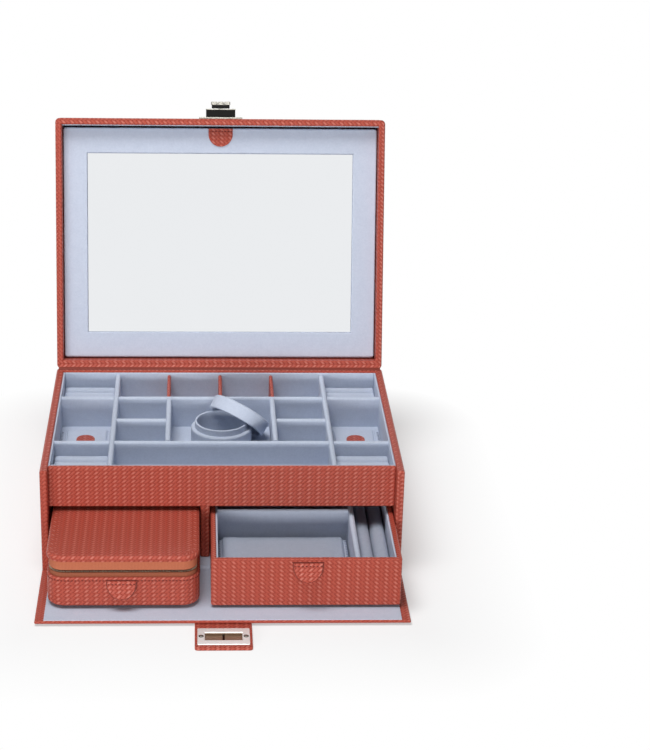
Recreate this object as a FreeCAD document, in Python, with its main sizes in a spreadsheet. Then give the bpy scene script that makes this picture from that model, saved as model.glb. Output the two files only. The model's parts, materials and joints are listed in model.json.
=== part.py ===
import FreeCAD, Part
import os
import re

sizes = {
    "case_width": 290.0,
    "case_depth": 216.0,
    "case_height": 91.0,
    "wall": 6.0,
    "wall_set_back": 3.0,
    "base_thickness": 6.0,
    "base_lining_thickness": 0.7,
    "rail_set_back": 14.0,
    "rail_thickness": 3.5,
    "rail_drop": 1.2,
    "rail_skirt": 2.6,
    "tray_deep": 34.0,
    "tray_floor_thickness": 3.0,
    "tray_lining_thickness": 0.7,
    "liner_thickness": 1.5,
    "liner_drop": 1.5,
    "post_left": -17.5,
    "post_right": -10.0,
    "divider_thickness": 4.3,
    "divider_drop": 3.0,
    "ring_cell_width": 45.05,
    "back_cell_depth": 47.65,
    "front_cell_depth": 45.85,
    "mid_divider_share": 0.494,
    "short_divider_share": 0.4907,
    "leather_divider_thickness": 3.0,
    "leather_divider_drop": 3.5,
    "ring_pad_high": 16.8,
    "ring_pad_gap": 0.4,
    "pouch_gap": 1.8,
    "pouch_front_gap": 8.85,
    "pouch_back_gap": 12.55,
    "pouch_thickness": 5.0,
    "pouch_tab_radius": 10.5,
    "pouch_tab_share": 0.5379,
    "pouch_tab_thickness": 1.4,
    "lid_height": 28.0,
    "lid_top_thickness": 3.2,
    "lid_overhang": 5.5,
    "lid_rim": 5.5,
    "lid_back_rim": 7.6,
    "lid_lining_thickness": 0.6,
    "lid_open": 104.7,
    "lid_gap": 0.1,
    "hinge_back": 0.4,
    "groove_cutter": 12.0,
    "hinge_from_side": 27.0,
    "hinge_length": 24.0,
    "hinge_middle": 9.6,
    "hinge_joint_gap": 0.2,
    "hinge_leaf_drop": 9.0,
    "hinge_leaf_thickness": 0.8,
    "knuckle_radius": 2.1,
    "knuckle_groove": 2.4,
    "hinge_pin_radius": 1.0,
    "hinge_bore_radius": 1.04,
    "mirror_recess": 13.0,
    "mirror_thickness": 5.0,
    "mirror_side_gap": 1.5,
    "mirror_front_gap": 2.8,
    "mirror_back_gap": 0.4,
    "mirror_side_margin": 20.0,
    "mirror_front_margin": 22.0,
    "mirror_back_margin": 23.5,
    "mirror_glass_step": 1.0,
    "mirror_glass_thickness": 2.0,
    "mirror_pin_radius": 1.2,
    "mirror_pin_hole": 1.24,
    "mirror_pin_in": 6.0,
    "mirror_pin_out": 4.0,
    "pull_tab_width": 21.4,
    "pull_tab_length": 16.0,
    "pull_tab_thickness": 1.2,
    "lock_plate_width": 38.0,
    "lock_plate_height": 22.0,
    "lock_plate_thickness": 1.6,
    "lock_block_width": 26.4,
    "lock_block_height": 9.0,
    "lock_block_proud": 7.3,
    "knob_width": 17.0,
    "knob_height": 7.0,
    "knob_proud": 6.0,
    "knob_gap": 0.3,
    "knob_groove": 0.8,
    "spindle_radius": 2.0,
    "spindle_hole": 2.05,
    "bar_outer": 50.0,
    "bar_inner": 45.0,
    "bar_angle": 38.0,
    "bar_thickness": 1.5,
    "bar_from_front": 32.7,
    "flap_gap": 0.35,
    "flap_length": 82.0,
    "strap_thickness": 2.0,
    "flap_board_thickness": 2.1,
    "flap_lining_thickness": 0.5,
    "flap_side_margin": 7.0,
    "flap_front_margin": 1.4,
    "strap_half_width": 22.0,
    "tab_gap": 0.3,
    "tab_length": 37.0,
    "tab_corner": 3.0,
    "lock_tab_thickness": 2.6,
    "plate_from_edge": 20.5,
    "plate_width": 40.0,
    "plate_length": 24.0,
    "plate_thickness": 3.2,
    "slot_width": 28.4,
    "slot_length": 11.0,
    "screw_x": 17.1,
    "screw_radius": 1.5,
    "screw_high": 0.5,
    "drawer_side_gap": 0.6,
    "drawer_out": 62.5,
    "drawer_depth": 150.0,
    "drawer_lift": 0.3,
    "drawer_share": 0.814,
    "drawer_wall": 4.0,
    "drawer_front_thickness": 3.5,
    "drawer_floor_thickness": 2.4,
    "drawer_liner_drop": 0.8,
    "roll_cell_width": 26.1,
    "drawer_cross_from_front": 86.5,
    "drawer_divider_drop": 1.6,
    "roll_share": 0.6118,
    "drawer_pouch_gap": 2.4,
    "drawer_pouch_thickness": 16.0,
    "tab_shift": 1.0,
    "drawer_tab_width": 22.6,
    "drawer_tab_drop": 3.2,
    "drawer_tab_high": 17.8,
    "front_tab_thickness": 1.8,
    "travel_wall_gap": 2.4,
    "travel_post_gap": 0.8,
    "travel_out": 63.5,
    "travel_depth": 118.0,
    "travel_body_share": 0.5,
    "zip_share": 0.24,
    "travel_lid_share": 0.13,
    "travel_wall": 3.0,
    "travel_corner": 13.5,
    "zip_inset": 1.3,
    "zip_thickness": 1.4,
    "travel_tab_width": 22.0,
    "travel_tab_drop": 2.5,
    "travel_tab_share": 0.688,
    "slider_from_back": 18.5,
    "slider_length": 9.0,
    "slider_high": 6.0,
    "slider_thickness": 2.6,
    "pull_length": 15.0,
    "pull_thickness": 1.0,
    "capsule_x": 0.2,
    "capsule_share": 0.5398,
    "capsule_width_share": 0.6053,
    "capsule_high": 18.6,
    "capsule_step": 3.4,
    "capsule_neck_high": 5.5,
    "capsule_neck_wall": 1.7,
    "capsule_floor": 2.0,
    "cover_wall": 2.9,
    "cover_high": 12.0,
    "cover_top_thickness": 1.8,
    "cover_tilt": 42.7,
    "cover_turn": 44.6,
    "cover_aside_share": 0.7055,
    "cover_behind_share": 0.6654,
    "cover_above": 2.46,
}

derived = {
    "tray_floor_low": "(case_height - tray_deep)",
    "divider_top": "(case_height - divider_drop)",
    "long_divider_x": "(case_width / 2 - wall - liner_thickness - ring_cell_width - divider_thickness / 2)",
    "cross_back_y": "(case_depth / 2 - wall - liner_thickness - back_cell_depth - divider_thickness / 2)",
    "tray_front_y": "(-case_depth / 2 + rail_set_back + rail_thickness + liner_thickness)",
    "cross_front_y": "(tray_front_y + front_cell_depth + divider_thickness / 2)",
    "mid_divider_x": "(long_divider_x * mid_divider_share)",
    "short_divider_y": "(cross_front_y + (cross_back_y - cross_front_y) * short_divider_share)",
    "leather_divider_pitch": "(long_divider_x / 2)",
    "leather_divider_top": "(case_height - leather_divider_drop)",
    "ring_pad_top": "(tray_floor_low + tray_floor_thickness + tray_lining_thickness + ring_pad_high)",
    "pouch_width": "(ring_cell_width - 2 * pouch_gap)",
    "pouch_x": "(case_width / 2 - wall - liner_thickness - ring_cell_width / 2)",
    "pouch_front": "(cross_front_y + divider_thickness / 2 + pouch_front_gap)",
    "pouch_back": "(cross_back_y - divider_thickness / 2 - pouch_back_gap)",
    "pouch_tab_y": "(pouch_front + (pouch_back - pouch_front) * pouch_tab_share)",
    "lid_front": "(-case_depth / 2 - lid_overhang)",
    "hinge_x": "(case_width / 2 - hinge_from_side)",
    "mirror_half_width": "(case_width / 2 - lid_rim - mirror_side_gap)",
    "mirror_front": "(lid_front + lid_rim + mirror_front_gap)",
    "mirror_pivot_y": "(case_depth / 2 - lid_back_rim - mirror_back_gap - mirror_thickness / 2)",
    "lock_z": "(case_height + lid_height / 2)",
    "bar_y": "(lid_front + bar_from_front)",
    "flap_edge": "(-case_depth / 2 - flap_length)",
    "tab_end": "(flap_edge - tab_length)",
    "plate_y": "(flap_edge - plate_from_edge)",
    "bay_high": "(case_height - tray_deep - base_thickness - base_lining_thickness - drawer_lift)",
    "drawer_high": "(bay_high * drawer_share)",
    "roll_high": "(drawer_high * roll_share)",
    "travel_body_high": "(bay_high * travel_body_share)",
    "zip_high": "(bay_high * zip_share)",
    "travel_lid_high": "(bay_high * travel_lid_share)",
    "travel_tab_high": "(travel_body_high * travel_tab_share)",
    "drawer_left": "(post_right + drawer_side_gap)",
    "drawer_right": "(case_width / 2 - wall - drawer_side_gap)",
    "drawer_front_y": "(-case_depth / 2 - drawer_out)",
    "drawer_low": "(base_thickness + base_lining_thickness + drawer_lift)",
    "drawer_top": "(drawer_low + drawer_high)",
    "drawer_room_right": "(drawer_right - drawer_wall - liner_thickness)",
    "drawer_divider_x": "(drawer_room_right - roll_cell_width - divider_thickness / 2)",
    "drawer_cross_y": "(drawer_front_y + drawer_cross_from_front)",
    "roll_top": "(drawer_low + drawer_floor_thickness + tray_lining_thickness + roll_high)",
    "drawer_pouch_left": "(drawer_left + drawer_wall + liner_thickness + drawer_pouch_gap)",
    "drawer_pouch_right": "(drawer_divider_x - divider_thickness / 2 - 1.67 * drawer_pouch_gap)",
    "drawer_pouch_front": "(drawer_front_y + drawer_front_thickness + liner_thickness + drawer_pouch_gap)",
    "drawer_pouch_back": "(drawer_cross_y - 1.9 * drawer_pouch_gap)",
    "drawer_tab_x": "((drawer_left + drawer_right) / 2 + tab_shift)",
    "drawer_tab_top": "(drawer_top - drawer_tab_drop)",
    "drawer_tab_low": "(drawer_tab_top - drawer_tab_high)",
    "travel_left": "(-case_width / 2 + wall + travel_wall_gap)",
    "travel_right": "(post_left - travel_post_gap)",
    "travel_front": "(-case_depth / 2 - travel_out)",
    "travel_low": "(base_thickness + base_lining_thickness + drawer_lift)",
    "travel_body_top": "(travel_low + travel_body_high)",
    "travel_zip_top": "(travel_body_top + zip_high)",
    "travel_top": "(travel_zip_top + travel_lid_high)",
    "zip_corner": "(travel_corner - zip_inset)",
    "travel_tab_x": "((travel_left + travel_right) / 2 - tab_shift)",
    "travel_tab_top": "(travel_body_top - travel_tab_drop)",
    "travel_tab_low": "(travel_tab_top - travel_tab_high)",
    "slider_y": "(travel_front + travel_depth - slider_from_back)",
    "capsule_radius": "((mid_divider_x - divider_thickness / 2) * capsule_width_share)",
    "cover_aside": "(capsule_radius * cover_aside_share)",
    "cover_behind": "(capsule_radius * cover_behind_share)",
    "capsule_y": "(cross_front_y + (cross_back_y - cross_front_y) * capsule_share)",
    "capsule_shoulder": "(tray_floor_low + tray_floor_thickness + tray_lining_thickness + capsule_high)",
    "capsule_neck_radius": "(capsule_radius - capsule_step)",
    "capsule_neck_top": "(capsule_shoulder + capsule_neck_high)",
    "capsule_inner_radius": "(capsule_neck_radius - capsule_neck_wall)",
    "cover_inner_radius": "(capsule_radius - cover_wall)",
    "cover_x": "(capsule_x + cover_aside)",
    "cover_y": "(capsule_y + cover_behind)",
    "cover_z": "(capsule_neck_top + cover_above)",
}

doc = FreeCAD.newDocument("jewelry_case")
sheet = doc.addObject("Spreadsheet::Sheet", "dims")
for row, name in enumerate(sizes, start=1):
    sheet.set("A%d" % row, name)
    sheet.set("B%d" % row, str(sizes[name]))
    sheet.setAlias("B%d" % row, name)
doc.recompute()

word = re.compile(r"[a-z][a-z_]*")


def named(match):
    name = match.group(0)
    if name in derived:
        return bound(derived[name])
    return "dims." + name if name in sizes else name


def bound(text):
    return word.sub(named, str(text))


hinge_y = "(case_depth / 2 - hinge_back)"
hinge_z = "case_height"
lid_frame = (
    "placement(vector(0; %s; %s); rotation(vector(1; 0; 0); -lid_open))" % (hinge_y, hinge_z)
    + " * placement(vector(0; -%s; -%s); rotation(vector(1; 0; 0); 0)) * " % (hinge_y, hinge_z)
)


def place(item, x, y, z, frame="", axis="1; 0; 0", angle="0"):
    spot = "placement(vector(%s; %s; %s); rotation(vector(%s); %s))" % (x, y, z, axis, angle)
    item.setExpression("Placement", bound(frame + spot))


def board(name, x, y, z, frame=""):
    box = doc.addObject("Part::Box", name)
    box.setExpression("Length", bound("(%s) - (%s)" % (x[1], x[0])))
    box.setExpression("Width", bound("(%s) - (%s)" % (y[1], y[0])))
    box.setExpression("Height", bound("(%s) - (%s)" % (z[1], z[0])))
    place(box, x[0], y[0], z[0], frame)
    return box


def rod_x(name, x, y, z, radius, frame=""):
    rod = doc.addObject("Part::Cylinder", name)
    rod.setExpression("Radius", bound(radius))
    rod.setExpression("Height", bound("(%s) - (%s)" % (x[1], x[0])))
    place(rod, x[0], y, z, frame, "0; 1; 0", "90")
    return rod


def rod_y(name, x, y, z, radius, frame=""):
    rod = doc.addObject("Part::Cylinder", name)
    rod.setExpression("Radius", bound(radius))
    rod.setExpression("Height", bound("(%s) - (%s)" % (y[1], y[0])))
    place(rod, x, y[0], z, frame, "1; 0; 0", "-90")
    return rod


def rod_z(name, x, y, z, radius, frame=""):
    rod = doc.addObject("Part::Cylinder", name)
    rod.setExpression("Radius", bound(radius))
    rod.setExpression("Height", bound("(%s) - (%s)" % (z[1], z[0])))
    place(rod, x, y, z[0], frame)
    return rod


def half_round(name, x, y, z, radius, thickness, frame="", lying=False):
    end = doc.addObject("Part::Cylinder", name)
    end.setExpression("Radius", bound(radius))
    end.setExpression("Height", bound(thickness))
    end.Angle = 180
    if lying:
        place(end, x, y, z, frame)
    else:
        place(end, x, y, z, frame, "1; 0; 0", "-90")
    return end


def group(name, members):
    item = doc.addObject("Part::Compound", name)
    item.Links = members
    return item


def joined(name, members):
    item = doc.addObject("Part::MultiFuse", name)
    item.Shapes = members
    item.Refine = True
    return item


def cut(name, base, tool):
    item = doc.addObject("Part::Cut", name)
    item.Base = base
    item.Tool = tool
    return item


def rounded(name, x, y, z, radius, upright_only=True, frame=""):
    body = doc.addObject("PartDesign::Body", name)
    block = body.newObject("PartDesign::AdditiveBox", name + "_block")
    block.setExpression("Length", bound("(%s) - (%s)" % (x[1], x[0])))
    block.setExpression("Width", bound("(%s) - (%s)" % (y[1], y[0])))
    block.setExpression("Height", bound("(%s) - (%s)" % (z[1], z[0])))
    doc.recompute()
    soft = body.newObject("PartDesign::Fillet", name + "_round")
    picked = []
    for number, edge in enumerate(block.Shape.Edges, start=1):
        along = edge.Vertexes[1].Point - edge.Vertexes[0].Point
        upright = abs(along.z) > 0.9 * along.Length
        if upright or not upright_only:
            picked.append("Edge%d" % number)
    soft.Base = (block, picked)
    soft.setExpression("Radius", bound(radius))
    place(body, x[0], y[0], z[0], frame)
    return body


half_width = "case_width / 2"
inside = "(case_width / 2 - wall)"
front = "(-case_depth / 2 + wall_set_back)"
back = "case_depth / 2"
back_inside = "(case_depth / 2 - wall)"
nodes = {}

groove_angle = "(lid_open / 2 + 0.3)"
carcass_groove = doc.addObject("Part::Box", "carcass_groove")
carcass_groove.setExpression("Length", bound("case_width + 4"))
carcass_groove.setExpression("Width", bound("groove_cutter"))
carcass_groove.setExpression("Height", bound("groove_cutter"))
place(carcass_groove, "-case_width / 2 - 2", hinge_y, hinge_z, "", "1; 0; 0", "-" + groove_angle)
lid_groove = doc.addObject("Part::Box", "lid_groove")
lid_groove.setExpression("Length", bound("case_width + 4"))
lid_groove.setExpression("Width", bound("groove_cutter"))
lid_groove.setExpression("Height", bound("groove_cutter"))
lid_groove_place = "placement(vector(-case_width / 2 - 2; %s; %s); rotation(vector(1; 0; 0); %s))" % (
    hinge_y, hinge_z, groove_angle)
place(lid_groove, "0", "0", "-groove_cutter", lid_frame + lid_groove_place + " * ")

left_board = board("left_board", ("-" + half_width, "-" + inside), (front, back), ("0", "case_height"))
nodes["left_wall"] = cut("left_wall", left_board, carcass_groove)
right_board = board("right_board", (inside, half_width), (front, back), ("0", "case_height"))
nodes["right_wall"] = cut("right_wall", right_board, carcass_groove)

leaf_low = "case_height - hinge_leaf_drop"
leaf_front = "%s - hinge_leaf_thickness / 2" % hinge_y
leaf_back = "%s + hinge_leaf_thickness / 2" % hinge_y
wall_cuts = [carcass_groove]
rim_cuts = [lid_groove]
carcass_leaves = []
lid_leaves = []
pins = []
for side, sign in (("left", "-1"), ("right", "1")):
    middle = "%s * hinge_x" % sign
    end_low = "%s - hinge_length / 2" % middle
    end_high = "%s + hinge_length / 2" % middle
    inner_low = "%s - hinge_middle / 2" % middle
    inner_high = "%s + hinge_middle / 2" % middle
    leaf_y = (leaf_front, leaf_back)
    low_z = (leaf_low, hinge_z)
    high_z = (hinge_z, "case_height + hinge_leaf_drop")
    outer_gap = "hinge_joint_gap"
    wall_cuts.append(board(side + "_wall_slot", (end_low, end_high), leaf_y, low_z))
    rim_cuts.append(board(side + "_rim_slot", (inner_low, inner_high), leaf_y, high_z, lid_frame))
    groove_x = (end_low + " - 0.3", end_high + " + 0.3")
    wall_cuts.append(rod_x(side + "_wall_groove", groove_x, hinge_y, hinge_z, "knuckle_groove"))
    rim_cuts.append(rod_x(side + "_rim_groove", groove_x, hinge_y, hinge_z, "knuckle_groove", lid_frame))
    leaf_z = (leaf_low, "case_height - knuckle_groove")
    low_leaf = board(side + "_low_leaf", (end_low, end_high), leaf_y, leaf_z)
    web_z = ("case_height - knuckle_groove - 0.5", hinge_z)
    first = (end_low, "%s - %s" % (inner_low, outer_gap))
    second = ("%s + %s" % (inner_high, outer_gap), end_high)
    members = [low_leaf]
    for tag, span in (("first", first), ("second", second)):
        members.append(board(side + tag + "_web", span, leaf_y, web_z))
        members.append(rod_x(side + tag + "_knuckle", span, hinge_y, hinge_z, "knuckle_radius"))
    bore = rod_x(side + "_bore", (end_low + " - 1", end_high + " + 1"), hinge_y, hinge_z, "hinge_bore_radius")
    carcass_leaves.append(cut(side + "_carcass_leaf", joined(side + "_carcass_leaf_solid", members), bore))
    high_leaf = board(side + "_high_leaf", (inner_low, inner_high), leaf_y, high_z, lid_frame)
    middle_knuckle = rod_x(side + "_middle_knuckle", (inner_low, inner_high), hinge_y, hinge_z,
                           "knuckle_radius", lid_frame)
    lid_bore = rod_x(side + "_lid_bore", (end_low, end_high), hinge_y, hinge_z, "hinge_bore_radius", lid_frame)
    lid_leaf_solid = joined(side + "_lid_leaf_solid", [high_leaf, middle_knuckle])
    lid_leaves.append(cut(side + "_lid_leaf", lid_leaf_solid, lid_bore))
    pins.append(rod_x(side + "_pin", (end_low, end_high), hinge_y, hinge_z, "hinge_pin_radius"))
nodes["hinge_leaves_carcass"] = group("hinge_leaves_carcass", carcass_leaves)
nodes["hinge_leaves_lid"] = group("hinge_leaves_lid", lid_leaves)
nodes["hinge_pins"] = group("hinge_pins", pins)

back_board = board("back_board", ("-" + inside, inside), (back_inside, back), ("0", "case_height"))
nodes["back_wall"] = cut("back_wall", back_board, joined("wall_cuts", wall_cuts))
nodes["base_board"] = board("base_board", ("-" + inside, inside), (front, back_inside), ("0", "base_thickness"))
floor_top = "(base_thickness + base_lining_thickness)"
nodes["base_lining"] = board(
    "base_lining", ("-" + inside, inside), (front, back_inside), ("base_thickness", floor_top))
rail_front = "(-case_depth / 2 + rail_set_back)"
rail_back = "(-case_depth / 2 + rail_set_back + rail_thickness)"
rail_top = "(case_height - rail_drop)"
nodes["front_rail"] = board(
    "front_rail", ("-" + inside, inside), (rail_front, rail_back), ("tray_floor_low - rail_skirt", rail_top))
tray_low = "(tray_floor_low + tray_floor_thickness)"
nodes["tray_floor"] = board(
    "tray_floor", ("-" + inside, inside), (rail_back, back_inside), ("tray_floor_low", tray_low))
nodes["centre_post"] = board(
    "centre_post", ("post_left", "post_right"), (rail_back, back_inside), (floor_top, "tray_floor_low"))

cell_floor = "(tray_floor_low + tray_floor_thickness + tray_lining_thickness)"
liner_top = "(case_height - liner_drop)"
tray_side = "(case_width / 2 - wall - liner_thickness)"
tray_front = "tray_front_y"
tray_back = "(case_depth / 2 - wall - liner_thickness)"
nodes["tray_liner"] = group("tray_liner", [
    board("liner_left", ("-" + inside, "-" + tray_side), (rail_back, back_inside), (tray_low, liner_top)),
    board("liner_right", (tray_side, inside), (rail_back, back_inside), (tray_low, liner_top)),
    board("liner_back", ("-" + tray_side, tray_side), (tray_back, back_inside), (tray_low, liner_top)),
    board("liner_front", ("-" + tray_side, tray_side), (rail_back, tray_front), (tray_low, rail_top)),
    board("liner_floor", ("-" + tray_side, tray_side), (tray_front, tray_back), (tray_low, cell_floor)),
])

half_divider = "divider_thickness / 2"
divider_z = (cell_floor, "divider_top")
long_in = "(long_divider_x - divider_thickness / 2)"
long_out = "(long_divider_x + divider_thickness / 2)"
mid_in = "(mid_divider_x - divider_thickness / 2)"
mid_out = "(mid_divider_x + divider_thickness / 2)"
cross_back = ("cross_back_y - divider_thickness / 2", "cross_back_y + divider_thickness / 2")
cross_front = ("cross_front_y - divider_thickness / 2", "cross_front_y + divider_thickness / 2")
middle_y = (cross_front[1], cross_back[0])
nodes["tray_long_dividers"] = group("tray_long_dividers", [
    board("long_left", ("-" + long_out, "-" + long_in), (tray_front, tray_back), divider_z),
    board("long_right", (long_in, long_out), (tray_front, tray_back), divider_z),
])
cross_boards = []
for name, span in (("back", cross_back), ("front", cross_front)):
    cross_boards.append(board("cross_%s_left" % name, ("-" + tray_side, "-" + long_out), span, divider_z))
    cross_boards.append(board("cross_%s_middle" % name, ("-" + long_in, long_in), span, divider_z))
    cross_boards.append(board("cross_%s_right" % name, (long_out, tray_side), span, divider_z))
nodes["tray_cross_dividers"] = group("tray_cross_dividers", cross_boards)
short_y = ("short_divider_y - divider_thickness / 2", "short_divider_y + divider_thickness / 2")
nodes["tray_short_dividers"] = group("tray_short_dividers", [
    board("mid_left", ("-" + mid_out, "-" + mid_in), middle_y, divider_z),
    board("mid_right", (mid_in, mid_out), middle_y, divider_z),
    board("short_left", ("-" + long_in, "-" + mid_out), short_y, divider_z),
    board("short_right", (mid_out, long_in), short_y, divider_z),
])
leather_boards = []
for name, step in (("left", "-1"), ("middle", "0"), ("right", "1")):
    centre = "%s * leather_divider_pitch" % step
    span = (centre + " - leather_divider_thickness / 2", centre + " + leather_divider_thickness / 2")
    leather_boards.append(
        board("leather_divider_" + name, span, (cross_back[1], tray_back), (cell_floor, "leather_divider_top")))
nodes["leather_dividers"] = group("leather_dividers", leather_boards)

pads = []
pad_rows = (("back", cross_back[1], tray_back), ("front", tray_front, cross_front[0]))
pad_columns = (("left", "-" + tray_side, "-" + long_out), ("right", long_out, tray_side))
for row_name, low_y, high_y in pad_rows:
    pitch = "(((%s) - (%s) - 2 * ring_pad_gap) / 4)" % (high_y, low_y)
    for column_name, low_x, high_x in pad_columns:
        name = "ring_pad_%s_%s" % (row_name, column_name)
        span = ("%s + ring_pad_gap" % low_x, "%s - ring_pad_gap" % high_x)
        start = "((%s) + ring_pad_gap)" % low_y
        finish = "((%s) - ring_pad_gap)" % high_y
        crest = "ring_pad_top - %s / 2" % pitch
        members = [board(name + "_bed", span, (start, finish), (cell_floor, crest))]
        for number in range(4):
            line = "%s + %s * %.1f" % (start, pitch, number + 0.5)
            members.append(rod_x("%s_roll_%d" % (name, number), span, line, crest, pitch + " / 2"))
        pads.append(joined(name, members))
nodes["ring_pads"] = group("ring_pads", pads)

for side, sign in (("left", "-1"), ("right", "1")):
    centre = "%s * pouch_x" % sign
    span = (centre + " - pouch_width / 2", centre + " + pouch_width / 2")
    pouch_top = cell_floor + " + pouch_thickness"
    cloth = rounded("pouch_cloth_" + side, span, ("pouch_front", "pouch_back"), (cell_floor, pouch_top), "6")
    tab_base = board(
        "pouch_tab_base_" + side, (centre + " - pouch_tab_radius", centre + " + pouch_tab_radius"),
        ("pouch_front", "pouch_tab_y"), (pouch_top, pouch_top + " + pouch_tab_thickness"))
    tab_round = rod_z("pouch_tab_round_" + side, centre, "pouch_tab_y",
                      (pouch_top, pouch_top + " + pouch_tab_thickness"), "pouch_tab_radius")
    nodes["pouch_" + side] = cloth
    nodes["pouch_tab_" + side] = joined("pouch_tab_" + side, [tab_base, tab_round])

capsule_outer = rod_z(
    "capsule_outer", "capsule_x", "capsule_y", (cell_floor, "capsule_shoulder"), "capsule_radius")
capsule_neck = rod_z(
    "capsule_neck", "capsule_x", "capsule_y", (cell_floor, "capsule_neck_top"), "capsule_neck_radius")
capsule_room = rod_z("capsule_room", "capsule_x", "capsule_y",
                     (cell_floor + " + capsule_floor", "capsule_neck_top + 1"), "capsule_inner_radius")
nodes["capsule_box"] = cut("capsule_box", joined("capsule_solid", [capsule_outer, capsule_neck]), capsule_room)
cover_frame = (
    "placement(vector(cover_x; cover_y; cover_z); rotation(vector(0; 0; 1); cover_turn))"
    + " * placement(vector(0; 0; 0); rotation(vector(0; 1; 0); cover_tilt)) * "
)
cover_solid = rod_z("cover_solid", "0", "0", ("-cover_high", "0"), "capsule_radius", cover_frame)
cover_room_z = ("-cover_high - 1", "-cover_top_thickness")
cover_room = rod_z("cover_room", "0", "0", cover_room_z, "cover_inner_radius", cover_frame)
nodes["capsule_lid"] = cut("capsule_lid", cover_solid, cover_room)

rim_low = "(case_height + lid_gap)"
lid_top = "(case_height + lid_height)"
lid_under = "(case_height + lid_height - lid_top_thickness)"
rim_front = "(lid_front + lid_rim)"
rim_back = "(case_depth / 2 - lid_back_rim)"
rim_side = "(case_width / 2 - lid_rim)"
nodes["lid_top_panel"] = board(
    "lid_top_panel", ("-" + half_width, half_width), ("lid_front", back), (lid_under, lid_top), lid_frame)
nodes["lid_front_rim"] = board(
    "lid_front_rim", ("-" + half_width, half_width), ("lid_front", rim_front), (rim_low, lid_under), lid_frame)
rim_board = board(
    "lid_back_board", ("-" + half_width, half_width), (rim_back, back), (rim_low, lid_under), lid_frame)
nodes["lid_back_rim"] = cut("lid_back_rim", rim_board, joined("rim_cuts", rim_cuts))
mirror_low = "(case_height + mirror_recess)"
mirror_high = "(case_height + mirror_recess + mirror_thickness)"
mirror_axis_z = "(case_height + mirror_recess + mirror_thickness / 2)"
hole_end = "mirror_half_width + mirror_pin_out + 0.2"
pin_hole = rod_x(
    "mirror_pin_holes", ("-(%s)" % hole_end, hole_end), "mirror_pivot_y", mirror_axis_z,
    "mirror_pin_hole", lid_frame)
rim_y = (rim_front, rim_back)
rim_z = (rim_low, lid_under)
left_rim = board("left_rim", ("-" + half_width, "-" + rim_side), rim_y, rim_z, lid_frame)
right_rim = board("right_rim", (rim_side, half_width), rim_y, rim_z, lid_frame)
nodes["lid_left_rim"] = cut("lid_left_rim", left_rim, pin_hole)
nodes["lid_right_rim"] = cut("lid_right_rim", right_rim, pin_hole)
nodes["lid_lining"] = board(
    "lid_lining", ("-" + rim_side, rim_side), (rim_front, rim_back),
    (lid_under + " - lid_lining_thickness", lid_under), lid_frame)

window_x = ("-mirror_half_width + mirror_side_margin", "mirror_half_width - mirror_side_margin")
mirror_end = "mirror_pivot_y + mirror_thickness / 2"
window_y = ("mirror_front + mirror_front_margin", mirror_end + " - mirror_back_margin")
frame_plate = board(
    "frame_plate", ("-mirror_half_width", "mirror_half_width"), ("mirror_front", "mirror_pivot_y"),
    (mirror_low, mirror_high), lid_frame)
frame_round = rod_x(
    "frame_round", ("-mirror_half_width", "mirror_half_width"), "mirror_pivot_y", mirror_axis_z,
    "mirror_thickness / 2", lid_frame)
window = board("window", window_x, window_y, (mirror_low + " - 1", mirror_high + " + 1"), lid_frame)
pin_bore = rod_x(
    "mirror_pin_bores", ("-mirror_half_width - 1", "mirror_half_width + 1"), "mirror_pivot_y", mirror_axis_z,
    "mirror_pin_radius", lid_frame)
pin_core = board(
    "pin_core", ("-mirror_half_width + mirror_pin_in", "mirror_half_width - mirror_pin_in"),
    ("mirror_pivot_y - 2", "mirror_pivot_y + 2"), (mirror_low + " + 0.5", mirror_high + " - 0.5"), lid_frame)
frame_cuts = joined("frame_cuts", [window, cut("pin_ends", pin_bore, pin_core)])
nodes["mirror_frame"] = cut("mirror_frame", joined("frame_solid", [frame_plate, frame_round]), frame_cuts)
glass_low = "(case_height + mirror_recess + mirror_glass_step)"
glass_high = "(case_height + mirror_recess + mirror_glass_step + mirror_glass_thickness)"
nodes["mirror_glass"] = board("mirror_glass", window_x, window_y, (glass_low, glass_high), lid_frame)
nodes["mirror_back"] = board("mirror_back", window_x, window_y, (glass_high, mirror_high), lid_frame)
pin_members = []
for side, sign in (("left", "-1"), ("right", "1")):
    near = "%s * (mirror_half_width + mirror_pin_out / 2 - mirror_pin_in / 2)" % sign
    reach = "(mirror_pin_out + mirror_pin_in) / 2"
    pin_members.append(
        rod_x(side + "_mirror_pin", ("%s - %s" % (near, reach), "%s + %s" % (near, reach)),
              "mirror_pivot_y", mirror_axis_z, "mirror_pin_radius", lid_frame))
nodes["mirror_pins"] = group("mirror_pins", pin_members)
tab_z = (mirror_low + " - pull_tab_thickness", mirror_low)
tab_y = "mirror_front + pull_tab_length - pull_tab_width / 2"
pull_x = ("-pull_tab_width / 2", "pull_tab_width / 2")
nodes["mirror_tab"] = joined("mirror_tab", [
    board("pull_base", pull_x, ("mirror_front", tab_y), tab_z, lid_frame),
    half_round("pull_round", "0", tab_y, tab_z[0], pull_x[1], "pull_tab_thickness", lid_frame, True),
])

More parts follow.
